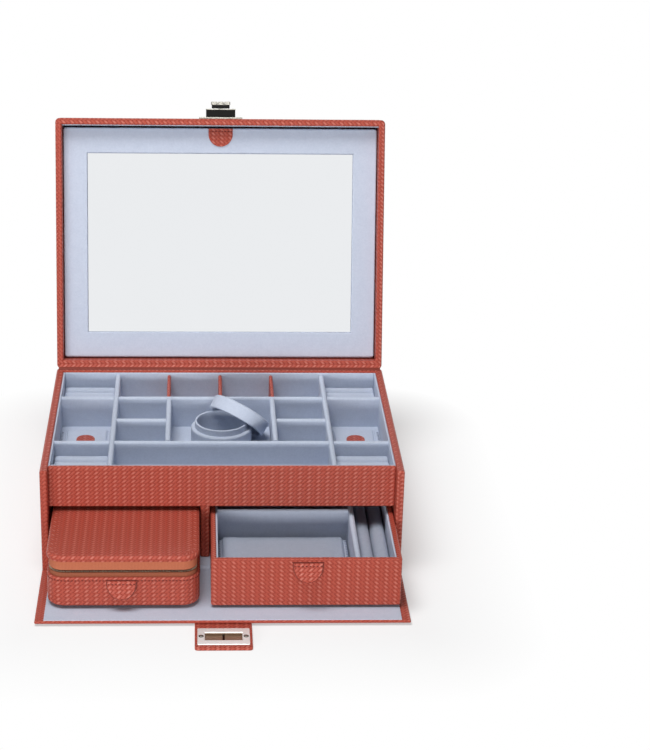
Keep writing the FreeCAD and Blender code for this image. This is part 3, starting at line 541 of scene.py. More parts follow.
def boxMap(made):
    # leather lies flat on each side
    for number, numbers in enumerate(made.faces):
        points = [made.corners[n] for n in numbers]
        normal = Vector((0, 0, 0))
        for k in range(len(points)):
            normal += points[k - 1].cross(points[k])
        a, b = flatAxes(normal)
        made.maps[number] = [(p[a] * mm, p[b] * mm) for p in points]


def ringPiece(name, stations, section, finish, body, slot, nodes, lay=None, sealed=True):
    made = Stock()
    made.sweep(stations, section, sealed=sealed)
    boxMap(made)
    made.piece(name, finish, body, slot, nodes, lay)


def boardPiece(name, finish, body, slot, nodes, low, high, radius=0.8, steps=3, lay=None):
    made = Stock()
    made.board(low, high, radius, steps)
    made.piece(name, finish, body, slot, nodes, lay)


lidHinge = Vector((0, 0.1076, 0.091))
lidLay = (Matrix.Translation(lidHinge) @ Matrix.Rotation(math.radians(-104.7), 4, "X")
          @ Matrix.Translation(-lidHinge))


# carcass: three walls wrapped in one hide

carcass = {
    "half": 145.0, "inner": 139.0, "front": -105.0, "back": 107.9, "inside": 102.0,
    "top": 91.0, "wall": 6.0, "corner": 2.6, "edge": 1.5,
}


def carcassPath():
    half, wall, corner, back = (carcass[k] for k in ("half", "wall", "corner", "back"))
    tip = [(carcass["front"] + y, inset) for y, inset in quarter(carcass["edge"])]
    path = [((-half, y), (wall, 0.0), inset) for y, inset in tip]
    for side in (-1, 1):
        centre = Vector((side * (half - corner), back - corner))
        target = Vector((side * (half - wall), back - wall))
        for n in range(7):
            angle = math.radians(15.0 * n)
            near, far = math.cos(angle), math.sin(angle)
            spoke = Vector((-near, far)) if side < 0 else Vector((far, near))
            point = centre + spoke * corner
            path.append((point, target - point, 0.0))
    path.extend(((half, y), (-wall, 0.0), inset) for y, inset in reversed(tip))
    return path


wallStations = carcassPath()


def wallSection(station, inset):
    wall, top = carcass["wall"], carcass["top"]
    rear = 5 <= station < len(wallStations) - 5
    slope = (0.9, 1.1) if rear else (1.3, 1.3)
    outline = rounded([(0, 0), (0, top - slope[1]), (slope[0], top), (wall, top), (wall, 0)],
                      [1.0, 0.6, 0.6, 1.2, 0.4], 3)
    shares = []
    for d, z in outline:
        d = min(max(d, inset), wall - inset)
        z = min(max(z, inset), top - inset)
        shares.append((d / wall, z))
    return shares


def carcassPieces():
    inner, inside = carcass["inner"], carcass["inside"]
    walls = Stock()
    walls.sweep(wallStations, wallSection, closed=False)
    walls.piece("carcassWalls", pressedLeather, "carcass", "leather", ("left_wall", "right_wall", "back_wall"),
                weld=True)
    boardPiece("frontRail", pressedLeather, "carcass", "leather", ("front_rail",),
               (-inner, -94.0, 54.4), (inner, -90.4, 89.8), 1.3)
    boardPiece("centrePost", pressedLeather, "carcass", "leather", ("centre_post",),
               (-17.5, -90.6, 6.7), (-10.0, inside, 57.0), 1.4)
    boardPiece("bayLining", suedeCloth, "carcass", "suede", ("base_lining",),
               (-inner, carcass["front"], 5.9), (inner, inside, 6.7), 0.25, 2)


carcassPieces()
print("carcass done")


# tray: suede liner, dividers with round tops, leather dividers

tray = {
    "side": 137.5, "front": -89.0, "back": 100.5, "low": 60.0, "floor": 60.7, "rim": 89.5,
    "top": 88.0, "long": (88.15, 92.45), "mid": (42.45, 46.75),
    "crossBack": (48.55, 52.85), "crossFront": (-43.15, -38.85), "short": (1.85, 6.15),
}
linerThick = 1.5


def linerPiece(name, body, node, low, high, floor):
    # four walls and a floor; low and high span the room inside
    made = Stock()
    for a, b in ((low[0] - linerThick, low[0]), (high[0], high[0] + linerThick)):
        made.board((a, low[1] - linerThick, low[2]), (b, high[1] + linerThick, high[2]), 0.6)
    for a, b in ((low[1] - linerThick, low[1]), (high[1], high[1] + linerThick)):
        made.board((low[0], a, low[2]), (high[0], b, high[2]), 0.6)
    made.board((low[0], low[1], floor[0]), (high[0], high[1], floor[1]), 0.2, 1)
    made.piece(name, suedeCloth, body, "suede", (node,))


def suedeBoard(made, low, high):
    # divider cloth goes over the top in one bend
    deep = high[0] - low[0] < high[1] - low[1]
    thick = min(high[0] - low[0], high[1] - low[1])
    arc = rounded([(0, low[2]), (0, high[2]), (thick, high[2]), (thick, low[2])],
                  [0.2, 0.46 * thick, 0.46 * thick, 0.2], 5)
    if deep:
        made.prism(arc, (low[1], high[1]), lambda y, d, z: (low[0] + d, y, z))
    else:
        made.prism(arc, (low[0], high[0]), lambda x, d, z: (x, low[1] + d, z))


def trayDividers():
    low, top = tray["floor"], tray["top"]
    side, front, back = tray["side"], tray["front"], tray["back"]
    made = Stock()
    for sign in (-1, 1):
        a, b = sorted((sign * tray["long"][0], sign * tray["long"][1]))
        suedeBoard(made, (a, front, low), (b, back, top))
    made.piece("trayLongDividers", suedeCloth, "carcass", "suede", ("tray_long_dividers",))
    made = Stock()
    inner, outer = tray["long"]
    for a, b in (tray["crossBack"], tray["crossFront"]):
        suedeBoard(made, (-side, a, low), (-outer, b, top))
        suedeBoard(made, (-inner, a, low), (inner, b, top))
        suedeBoard(made, (outer, a, low), (side, b, top))
    made.piece("trayCrossDividers", suedeCloth, "carcass", "suede", ("tray_cross_dividers",))
    made = Stock()
    near, far = tray["crossFront"][1], tray["crossBack"][0]
    for sign in (-1, 1):
        a, b = sorted((sign * tray["mid"][0], sign * tray["mid"][1]))
        suedeBoard(made, (a, near, low), (b, far, top))
        a, b = sorted((sign * tray["mid"][1], sign * inner))
        suedeBoard(made, (a, tray["short"][0], low), (b, tray["short"][1], top))
    made.piece("trayShortDividers", suedeCloth, "carcass", "suede", ("tray_short_dividers",))
    made = Stock()
    for middle in (-45.15, 0.0, 45.15):
        suedeBoard(made, (middle - 1.5, tray["crossBack"][1], low), (middle + 1.5, back, 87.5))
    made.piece("leatherDividers", pressedLeather, "carcass", "leather", ("leather_dividers",))


linerPiece("trayLiner", "carcass", "tray_liner", (-tray["side"], tray["front"], tray["low"]),
           (tray["side"], tray["back"], tray["rim"]), (tray["low"], tray["floor"]))
trayDividers()
print("tray done")


# ring pads: rolled foam under suede, pinched between the rolls

pads = {"rolls": 4, "gap": 0.4, "crest": 77.5, "belly": 2.5, "end": 2.2}


def lobedPad(name, low, high, crest, rolls, along, body, nodes, finish):
    # along: 0 when the rolls run along x, 1 when they run along y
    made = Stock()
    width = high[1 - along] - low[1 - along]
    pitch = width / rolls
    profile = []
    for roll in range(rolls):
        for n in range(15):
            s = -1.0 + 2.0 * n / 14
            drop = 1.0 - (1.0 - min(abs(s), 0.999) ** pads["belly"]) ** (1.0 / pads["belly"])
            profile.append(((roll + 0.5 + 0.5 * s * 0.997) * pitch, crest - drop * pitch * 0.72))
    base = low[2]
    length = high[along] - low[along]
    tip = quarter(pads["end"])
    slices = list(tip)
    slices += [(pads["end"] + (length - 2 * pads["end"]) * n / 14, 0.0) for n in range(1, 14)]
    slices += [(length - place, inset) for place, inset in reversed(tip)]
    size = len(profile) + 2
    for place, inset in slices:
        ring = [(0.05, base)] + profile + [(width - 0.05, base)]
        for across, z in ring:
            soft = noise.noise(Vector((place * 0.07, across * 0.11, crest))) * 0.25
            z = base if z == base else z - inset + soft * (1.0 if inset == 0 else 0.3)
            across = min(max(across, inset * 0.4), width - inset * 0.4)
            point = [0, 0, z]
            point[along] = low[along] + place
            point[1 - along] = low[1 - along] + across
            made.corners.append(Vector(point))
    for a in range(len(slices) - 1):
        for k in range(size):
            n = (k + 1) % size
            near, far = slices[a][0], slices[a + 1][0]
            made.face((a * size + k, a * size + n, (a + 1) * size + n, (a + 1) * size + k),
                      [(near, k), (near, k + 1), (far, k + 1), (far, k)])
    last = (len(slices) - 1) * size
    for first in (0, last):
        made.face(range(first, first + size), [(k, 0) for k in range(size)])
    pad = made.piece(name, finish, body, "suede", nodes, None, 60.0)


def ringPads():
    outer = tray["long"][1]
    gap = pads["gap"]
    rows = (("Back", tray["crossBack"][1], tray["back"]), ("Front", tray["front"], tray["crossFront"][0]))
    for rowName, near, far in rows:
        for sideName, a, b in (("Left", -tray["side"], -outer), ("Right", outer, tray["side"])):
            lobedPad("ringPad" + rowName + sideName, (a + gap, near + gap, tray["floor"]),
                     (b - gap, far - gap, pads["crest"]), pads["crest"], pads["rolls"], 0,
                     "carcass", ("ring_pads",), suedeCloth)


ringPads()
lobedPad("drawerRingRolls", (107.2, -165.1, 10.1), (132.5, -26.4, 35.0), 35.0, 2, 1,
         "drawer", ("drawer_ring_rolls",), suedeDim)
print("ring pads done")


# pouches: a sewn envelope blown up by a cloth run, with pinked ends

pouchCloth = {
    "voxel": 1.6 * mm, "pressure": 4.0, "frames": 20, "stiffness": 15.0, "sideways": 0.5 * mm,
    "tooth": 2.8, "flange": 3.9, "thick": 0.3, "hem": (0.8, 0.35),
}


def puffed(name, low, high, cap, rounds, finish):
    work = bmesh.new()
    bmesh.ops.create_cube(work, size=1.0)
    for v in work.verts:
        v.co = Vector([((low[k] + high[k]) / 2 + v.co[k] * (high[k] - low[k])) * mm for k in range(3)])
    mesh = bpy.data.meshes.new(name)
    work.to_mesh(mesh)
    work.free()
    made = bpy.data.objects.new(name, mesh)
    shown.link(made)
    remesh = made.modifiers.new("even", "REMESH")
    remesh.mode = "VOXEL"
    remesh.voxel_size = pouchCloth["voxel"]
    soft = made.modifiers.new("soft", "SMOOTH")
    soft.factor = 0.5
    soft.iterations = rounds
    settle(made)
    before = [v.co.copy() for v in made.data.vertices]
    cloth = made.modifiers.new("cloth", "CLOTH")
    cloth.settings.use_pressure = True
    cloth.settings.uniform_pressure_force = pouchCloth["pressure"]
    cloth.settings.effector_weights.gravity = 0.0
    cloth.settings.quality = 5
    cloth.settings.tension_stiffness = pouchCloth["stiffness"]
    cloth.settings.compression_stiffness = pouchCloth["stiffness"]
    cloth.settings.bending_stiffness = 0.2
    cloth.point_cache.frame_start = 1
    cloth.point_cache.frame_end = pouchCloth["frames"]
    for number in range(1, pouchCloth["frames"] + 1):
        bpy.context.scene.frame_set(number)
    settle(made)
    bpy.context.scene.frame_set(1)
    centre = Vector([(low[k] + high[k]) / 2 * mm for k in range(3)])
    reach = Vector([(high[k] - low[k]) / 2 * mm for k in range(3)])
    for v, start in zip(made.data.vertices, before):
        move = v.co - start
        if move.length > cap * mm:
            move = move.normalized() * cap * mm
        rel = start - centre
        crown = max(0.0, 1.0 - (rel.x / reach.x) ** 2) * max(0.0, 1.0 - (rel.y / reach.y) ** 2)
        fold = noise.noise(Vector((start.x * 38.0, start.y * 52.0, low[2]))) * 0.9
        fold = fold + noise.noise(Vector((start.x * 90.0, start.y * 24.0, high[2]))) * 0.5
        aside = pouchCloth["sideways"]
        move.x = max(min(move.x, aside), -aside)
        move.y = max(min(move.y, aside), -aside)
        lift = 0.0
        if rel.z > 0:
            lift = max(move.z, 0.0) * crown ** 0.5 + fold * mm * crown ** 0.4
        v.co = start + Vector((move.x, move.y, lift))
    skin = made.data.uv_layers.new(name="skin")
    for loop in made.data.loops:
        co = made.data.vertices[loop.vertex_index].co
        skin.data[loop.index].uv = (co.x, co.y)
    smooth = made.modifiers.new("smooth", "SUBSURF")
    smooth.levels = 1
    smooth.render_levels = 1
    settle(made)
    made.data.polygons.foreach_set("use_smooth", [True] * len(made.data.polygons))
    made.data.materials.clear()
    made.data.materials.append(finish)
    return made


def settle(made):
    # the evaluated mesh becomes the piece's own, with no modifier left
    graph = bpy.context.evaluated_depsgraph_get()
    graph.update()
    mesh = bpy.data.meshes.new_from_object(made.evaluated_get(graph))
    made.modifiers.clear()
    made.data = mesh


def pinkedEdge(made, x, out, near, far, low, high):
    # zigzag flange beyond the seam
    count = int((far - near) / pouchCloth["tooth"])
    step = (far - near) / count
    root, valley, peak = (x + out * reach for reach in (-2.0, pouchCloth["flange"] * 0.45, pouchCloth["flange"]))
    outline = [(root, near)]
    for k in range(count):
        outline += [(valley, near + step * k), (peak, near + step * (k + 0.5))]
    outline += [(valley, far), (root, far)]
    made.plate(outline, low, high, 0.12, None, 1)


def pouchEnds(names, ends, near, far, top, hem, finish, body):
    # a pinked flange at each end, with a dark strip under it: painted shade between the teeth
    edges, shadeStrips = Stock(), Stock()
    under, over = pouchCloth["hem"]
    for x, out in zip(ends, (-1, 1)):
        pinkedEdge(edges, x, out, near, far, top - pouchCloth["thick"], top)
        a, b = sorted((x + out * hem[0], x - out * hem[1]))
        shadeStrips.board((a, near + 0.2, top - under), (b, far - 0.2, top - over), 0.1, 1)
    edges.piece(names[0], finish, body, "suede")
    shadeStrips.piece(names[1], blueThread, body, "suede")


trayPouch = {
    "near": 97.4, "far": 132.6, "front": -29.6, "back": 35.6, "high": 3.4, "seam": 2.0,
    "tab": 7.8, "tabCentre": 10.2,
}
drawerPouch = {"low": (-0.2, -163.0, 10.15), "high": (98.4, -88.0, 25.0), "ends": (0.8, 97.4), "seam": 22.2}


def pouchSet():
    t, floor = trayPouch, tray["floor"]
    for side, sign in (("Left", -1), ("Right", 1)):
        a, b = sorted((sign * t["near"], sign * t["far"]))
        bag = puffed("pouch" + side, (a, t["front"], floor + 0.05), (b, t["back"], floor + t["high"]), 1.6, 3,
                     suedeCloth)
        carry(bag, "carcass", ("pouch_" + side.lower(),))
        pouchEnds(("pouchEdges" + side, "pouchHems" + side), (a, b), t["front"] + 0.6, t["back"] - 0.6,
                  floor + t["seam"], (3.7, 1.0), suedeCloth, "carcass")
        tab = Stock()
        outline = roundTab((a + b) / 2, t["tab"], t["front"] - 0.3, t["tabCentre"])
        tab.plate(outline, floor + 4.6, floor + 6.2, 0.5)
        tab.piece("pouchTab" + side, pressedLeather, "carcass", "leather", ("pouch_tab_" + side.lower(),))
    d = drawerPouch
    bag = puffed("drawerPouch", d["low"], d["high"], 2.6, 12, suedeDim)
    carry(bag, "drawer", ("drawer_pouch",))
    pouchEnds(("drawerPouchEdges", "drawerPouchHems"), d["ends"], d["low"][1] + 2.0, d["high"][1] - 2.0, d["seam"],
              (3.8, 0.8), suedeDim, "drawer")


pouchSet()
print("pouches done")


# capsule: turned card box in suede, with its cap leaning on it

capsule = {
    "x": 0.2, "y": 8.5, "radius": 25.7, "neck": 22.3, "bore": 20.6,
    "floor": 60.7, "inside": 62.7, "shoulder": 79.3, "top": 84.8,
    "cap": 12.0, "capBore": 22.8, "capTop": 1.8,
    "capPlace": (0.01833, 0.02560, 0.08726), "capTurn": 44.6, "capLean": 42.7,
}


def turned(made, outline, steps=96):
    size, start, rise = len(outline), len(made.corners), runLengths(outline)
    angles = [2 * math.pi * n / steps for n in range(steps)]
    for angle in angles:
        made.corners.extend(Vector((r * math.cos(angle), r * math.sin(angle), z)) for r, z in outline)
    for n in range(steps):
        a, b = start + n * size, start + ((n + 1) % steps) * size
        for k in range(size - 1):
            made.face((a + k, b + k, b + k + 1, a + k + 1),
                      ((n, rise[k]), (n + 1, rise[k]), (n + 1, rise[k + 1]), (n, rise[k + 1])))
    for k in (0, size - 1):
        made.face([start + n * size + k for n in range(steps)],
                  [(outline[k][0] * math.cos(angle), outline[k][0] * math.sin(angle)) for angle in angles])


def capsulePieces():
    c = capsule
    radius, neck, bore, floor, inside = (c[k] for k in ("radius", "neck", "bore", "floor", "inside"))
    shape = [(radius - 6, floor), (radius, floor), (radius, c["shoulder"]), (neck, c["shoulder"]),
             (neck, c["top"]), (bore, c["top"]), (bore, inside), (bore - 6, inside)]
    made = Stock()
    turned(made, openCurve(shape, [0.1, 1.0, 1.3, 0.3, 0.7, 0.7, 0.8, 0.1]))
    made.piece("capsuleBox", suedeCloth, "capsule", "suede", ("capsule_box",),
               Matrix.Translation((c["x"] * mm, c["y"] * mm, 0)))
    shape = [(radius - 6, 0.0), (radius, 0.0), (radius, -c["cap"]), (c["capBore"], -c["cap"]),
             (c["capBore"], -c["capTop"]), (16.0, -c["capTop"])]
    made = Stock()
    turned(made, openCurve(shape, [0.1, 1.5, 0.8, 0.8, 0.6, 0.1]))
    lay = (Matrix.Translation(c["capPlace"]) @ Matrix.Rotation(math.radians(c["capTurn"]), 4, "Z")
           @ Matrix.Rotation(math.radians(c["capLean"]), 4, "Y"))
    made.piece("capsuleLid", suedeCloth, "capsule_cover", "suede", ("capsule_lid",), lay)


capsulePieces()
print("capsule done")


# lid: shut shape first, then laid open

lid = {
    "half": 145.0, "front": -113.5, "back": 107.9, "low": 91.1, "inside": 115.2, "top": 119.0,
    "rim": 5.5, "backRim": 7.6, "corner": 3.7,
}
lidStations = ringPath((-lid["half"], lid["front"]), (lid["half"], lid["back"]),
                       (lid["rim"], lid["rim"], lid["rim"], lid["backRim"]), lid["corner"])


def lidSection(station, inset):
    rear = lidStations[station][0][1] > lid["back"] - lid["corner"] - 0.01
    low, top, rim = lid["low"], lid["top"], lid["rim"]
    slope = (0.16, 1.0) if rear else (0.22, 1.2)
    shape = [(rim, lid["inside"]), (rim, low), (slope[0] * rim, low),
             (0.0, low + slope[1]), (0.0, top), (rim, top)]
    return [(d / rim, z) for d, z in openCurve(shape, [0.1, 1.1, 0.5, 0.5, 2.2, 0.1])]


ringPiece("lidShell", lidStations, lidSection, pressedLeather, "lid", "leather",
          ("lid_top_panel", "lid_front_rim", "lid_back_rim", "lid_left_rim", "lid_right_rim"), lidLay, False)
boardPiece("lidRimLining", suedeCloth, "lid", "suede", (),
           (-139.5, -108.1, 95.0), (139.5, -107.1, lid["inside"]), 0.3, 2, lidLay)
print("lid done")


# mirror door

mirror = {
    "half": 138.8, "front": -105.2, "back": 99.5, "low": 104.0, "high": 109.0, "corner": 2.2,
    "margins": (20.8, 20.8, 22.0, 23.0), "glass": (105.0, 107.0),
    "tab": 10.7, "tabBase": -105.1, "tabCentre": -99.9, "tabLow": 102.7,
}


def mirrorPieces():
    m = mirror
    left, right, front, back = m["margins"]
    stations = ringPath((-m["half"], m["front"]), (m["half"], m["back"]), m["margins"], m["corner"])
    ringPiece("mirrorFrame", stations, rimSection(left, m["low"], m["high"], [1.3, 1.6, 0.3, 0.7]),
              suedeCloth, "mirror_door", "suede", ("mirror_frame",), lidLay)
    boardPiece("mirrorGlass", silvering, "mirror_door", "mirror", ("mirror_glass",),
               (left - m["half"], m["front"] + front, m["glass"][0]),
               (m["half"] - right, m["back"] - back, m["glass"][1]), 0.5, 2, lidLay)
    tab = Stock()
    tab.plate(roundTab(0.0, m["tab"], m["tabBase"], m["tabCentre"]), m["tabLow"], m["low"], 0.4)
    tab.moveMap(1.8, 0.9)
    tab.piece("mirrorTab", pressedLeather, "mirror_door", "leather", ("mirror_tab",), lidLay)


mirrorPieces()
print("mirror door done")


# lock on the lid front: half width, half height, near and far face of each part

lock = {
    "middle": 105.0,
    "plate": (19.0, 11.0, -115.1, -113.45),
    "block": (12.9, 4.3, -121.8, -115.1),
    "cap": (13.2, 4.6, -122.4, -121.5),
    "core": (8.0, 3.3, -128.1, -125.7),
    "neck": (7.9, 3.2, -125.8, -122.7),
    "bars": ((-8.5, -3.2), (-2.5, 2.5), (3.2, 8.5)),
    "bar": (3.6, -128.7, -125.6),
}


def lockBox(part):
    half, high, near, far = lock[part]
    return (-half, near, lock["middle"] - high), (half, far, lock["middle"] + high)


def lockPieces():
    boardPiece("lockPlate", nickel, "lid", "nickel", ("lock_plate",), *lockBox("plate"), 0.5, 3, lidLay)
    # the block is near black under the bright nickel cap: painted dark reflection
    boardPiece("lockBlock", blackNickel, "lid", "nickel", ("lock_block",), *lockBox("block"), 0.5, 3, lidLay)
    boardPiece("lockBlockCap", nickel, "lid", "nickel", (), *lockBox("cap"), 0.35, 3, lidLay)
    knob = Stock()
    high, near, far = lock["bar"]
    for a, b in lock["bars"]:
        knob.board((a, near, lock["middle"] - high), (b, far, lock["middle"] + high), 0.8)
    knob.board(*lockBox("core"), 0.4)
    knob.piece("lockKnob", nickel, "turn_lock", "nickel", ("lock_knob",), lidLay)
    # near-black neck under the bright knob: painted dark reflection
    boardPiece("lockKnobNeck", blackNickel, "turn_lock", "nickel", (), *lockBox("neck"), 0.5, 3, lidLay)


lockPieces()
print("lock done")


# flap, strap and strap end

flap = {"half": 145.0, "cloth": 138.0, "strap": 22.0, "edge": -190.0, "crease": -105.35, "low": 2.0, "high": 4.2}


def flapPieces():
    half, cloth, strap, edge, crease = (flap[k] for k in ("half", "cloth", "strap", "edge", "crease"))
    boardPiece("flapBoard", pressedLeather, "flap", "leather", ("flap_board",),
               (-half, edge, flap["low"]), (half, crease, flap["high"]), 0.95)
    boardPiece("flapLining", suedeCloth, "flap", "suede", ("flap_lining",),
               (-cloth, edge + 1.4, 4.0), (cloth, crease, 4.7), 0.25, 2)
    boardPiece("flapStrap", pressedLeather, "flap", "leather", ("flap_strap",),
               (-strap, edge, 0.0), (strap, crease, 2.1), 0.6)


strapTip = {"front": -227.0, "back": -190.3, "walls": (2.0, 2.0, 4.5, 8.2), "corner": 2.4, "high": 2.6}
escutcheon = {
    "half": 20.0, "front": -222.5, "back": -198.5, "walls": (5.8, 5.8, 6.5, 6.5), "high": 3.2, "slot": 14.3,
}


def strapEnd():
    s, e, half = strapTip, escutcheon, flap["strap"]
    stations = ringPath((-half, s["front"]), (half, s["back"]), s["walls"], s["corner"])
    ringPiece("strapEnd", stations, rimSection(2.0, 0.0, s["high"], [0.5, 0.9, 0.3, 0.3], 3),
              pressedLeather, "strap_end", "leather", ("lock_tab",))
    stations = ringPath((-e["half"], e["front"]), (e["half"], e["back"]), e["walls"], 0.8, 3)
    ringPiece("escutcheon", stations, rimSection(6.0, 0.0, e["high"], [0.2, 0.4, 0.7, 0.2], 3),
              satinNickel, "strap_end", "nickel", ("escutcheon",))
    cup = Stock()
    cup.board((-e["slot"], -216.1, 0.1), (e["slot"], -204.9, 0.9), 0.2, 1)
    cup.board((-e["slot"], -205.3, 0.5), (e["slot"], -204.8, 2.6), 0.15, 1)
    cup.piece("slotCup", bronze, "strap_end", "nickel")
    boardPiece("slotPin", blackNickel, "strap_end", "nickel", (), (-0.9, -215.8, 0.8), (0.9, -205.2, 1.5), 0.3, 2)


flapPieces()
strapEnd()
print("flap done")


# drawer

drawer = {
    "left": -9.4, "right": 138.4, "front": -170.5, "back": -20.5, "low": 7.0, "top": 47.7, "corner": 1.7,
    "walls": (4.0, 4.0, 3.5, 4.0), "room": ((-3.9, -165.5, 9.4), (132.9, -26.0, 46.9)), "floor": (9.3, 10.1),
    "divider": 46.1, "long": (102.5, 106.8), "cross": (-84.0, -79.7),
}


def drawerPieces():
    d = drawer
    low, high = d["room"]
    floor, top, near = d["floor"][1], d["divider"], d["long"][0]
    stations = ringPath((d["left"], d["front"]), (d["right"], d["back"]), d["walls"], d["corner"])
    ringPiece("drawerBox", stations, rimSection(d["walls"][0], d["low"], d["top"], [0.9, 1.2, 1.0, 0.3]),
              turnedLeather, "drawer", "leather", ("drawer_front", "drawer_back", "drawer_sides"))
    linerPiece("drawerLiner", "drawer", "drawer_liner", low, high, d["floor"])
    made = Stock()
    suedeBoard(made, (near, low[1], floor), (d["long"][1], high[1], top))
    suedeBoard(made, (low[0], d["cross"][0], floor), (near, d["cross"][1], top))
    made.piece("drawerDividers", suedeCloth, "drawer", "suede", ("drawer_dividers",))


pullTab = {"shoulder": 2.2, "bulge": 3.4, "rim": 0.75}


def tabOutline(width, low, top):
    half, start = width / 2, top - pullTab["shoulder"]
    angles = [math.radians(180.0 + 180.0 * n / 24) for n in range(1, 24)]
    arc = [(half * math.cos(a), start + (start - low) * math.sin(a)) for a in angles]
    return [(-half, top), (-half, start)] + arc + [(half, start), (half, top)]


def frontTab(name, body, node, middle, width, low, top, y):
    # hide; under it a dark plate a little wider, the dyed edge and painted shadow round the tab; and a dark strip
    # at the top, painted shade in the slit that holds it
    lay = Matrix.Translation((middle, y, 0)) @ Matrix.Rotation(math.radians(90.0), 4, "X")
    rim, reach = pullTab["rim"], width / 2 + 1.2

    def bend(co):
        return pullTab["bulge"] * (max(top - co.y, 0.0) / (top - low)) ** 1.3

    made = Stock()
    made.plate(tabOutline(width, low, top), 0.9, 2.2, 0.5, lay, 3, bend)
    made.moveMap(1.85, 1.2)
    made.piece(name, pressedLeather, body, "leather", (node,))
    edge = Stock()
    edge.plate(tabOutline(width + 2 * rim, low - rim, top), 0.1, 1.0, 0.25, lay, 2, bend)
    edge.piece(name + "Edge", creaseLeather, body, "leather")
    # dark strip on the surface: painted shade of the slit
    boardPiece(name + "Slit", redThread, body, "leather", (),
               (middle - reach, y - 0.12, top - 0.3), (middle + reach, y + 0.4, top + 0.5), 0.1, 1)


drawerPieces()
frontTab("drawerTab", "drawer", "drawer_tab", 65.5, 22.4, 29.6, 44.5, drawer["front"])
print("drawer done")


# travel case

travel = {
    "left": -136.6, "right": -18.3, "front": -171.5, "back": -53.5, "corner": 13.5, "low": 7.0, "inside": 10.0,
    "bodyTop": 32.0, "lip": 45.5, "ceiling": 48.9, "top": 50.5, "skin": 3.0, "turn": 7.0,
    "tapeInset": 1.9, "tapeLow": 35.6, "tapeHigh": 37.8, "teeth": 36.7,
}


def travelPath(inset):
    t = travel
    return ringPath((t["left"] + inset, t["front"] + inset), (t["right"] - inset, t["back"] - inset),
                    (0, 0, 0, 0), t["corner"] - inset, 14, 1.0)


def travelPieces():
    t = travel
    skin, turn = t["skin"], t["turn"]
    stations = travelPath(0.0)
    shape = [(turn, t["low"]), (0, t["low"]), (0, t["bodyTop"]), (skin, t["bodyTop"]), (skin, t["inside"]),
             (turn, t["inside"])]
    made = Stock()
    made.sweep(stations, everywhere(openCurve(shape, [0.1, 2.4, 1.1, 0.8, 0.8, 0.1])), sealed=False)
    made.piece("travelBody", pressedLeather, "travel_case", "leather", ("travel_body",))
    shape = [(turn, t["ceiling"]), (skin, t["ceiling"]), (skin, t["lip"]), (0, t["lip"]), (0, t["top"]),
             (turn, t["top"])]
    made = Stock()
    rings = made.sweep(stations, everywhere(openCurve(shape, [0.1, 0.8, 0.8, 0.9, 2.4, 0.1])), sealed=False)
    # the skin runs over the front edge without a break, from the last station of the front left corner
    corner, rows = 29, len(rings[0]) - 1
    start = made.corners[rings[corner][-1]]
    ends = made.maps[corner * rows + rows - 1]
    across, up = start.x * mm - ends[0][0], start.y * mm - ends[3][1]
    for number, numbers in enumerate(made.faces):
        if len(numbers) == 4:
            made.maps[number] = [(u + across, v + up) for u, v in made.maps[number]]
    made.piece("travelLid", pressedLeather, "travel_case", "leather", ("travel_lid",))
    # the lower band takes the darkened tape: painted shade below the teeth
    tapes = (("zipTapeLow", zipTapeLow, (), t["bodyTop"] - 0.4, t["tapeLow"]),
             ("zipTape", zipTape, ("travel_zip",), t["tapeHigh"], t["lip"] + 0.4))
    for name, finish, nodes, low, high in tapes:
        shape = [(0.3, low), (0.0, low + 0.4), (-0.25, (low + high) / 2), (0.0, high - 0.4), (0.3, high),
                 (1.4, high), (1.4, low)]
        made = Stock()
        made.sweep(travelPath(t["tapeInset"]), everywhere(shape))
        made.piece(name, finish, "travel_case", "zip_tape", nodes, None, 60.0)
    made = Stock()
    made.board((-137.9, -72.0, 35.0), (-135.3, -63.0, 41.0), 0.8)
    made.board((-137.9, -87.0, 36.2), (-137.0, -71.6, 40.0), 0.35, 2)
    made.piece("zipSlider", zipMetal, "travel_case", "nickel", ("travel_zip_slider",))


travelPieces()
frontTab("travelTab", "travel_case", "travel_tab", -78.45, 22.2, 15.8, 29.8, travel["front"])
print("travel case done")


# stitches, zip teeth and screws follow their paths with Geometry Nodes

def startTree(name, labels, result):
    tree = bpy.data.node_groups.new(name, "GeometryNodeTree")
    sockets = {}
    for label, kind in labels.items():
        made = tree.interface.new_socket(name=label, in_out="INPUT", socket_type="NodeSocket" + kind)
        sockets[label] = made.identifier
    tree.interface.new_socket(name=result, in_out="OUTPUT", socket_type="NodeSocketGeometry")
    start = tree.nodes.new("NodeGroupInput")
    return Wire(tree), sockets, {label: Wire(tree, start.outputs[label]) for label in labels}


def endTree(wire, last, result):
    end = wire.tree.nodes.new("NodeGroupOutput")
    wire.tree.links.new(last.socket, end.inputs[result])


def grown(name, mesh, tree, sockets, inputs):
    # the tree's result on a mesh of points or lines, as a plain mesh
    made = bpy.data.objects.new(name, mesh)
    nodes = made.modifiers.new("row", "NODES")
    nodes.node_group = tree
    for label, value in inputs.items():
        nodes[sockets[label]] = value
    shown.link(made)
    settle(made)
    return made


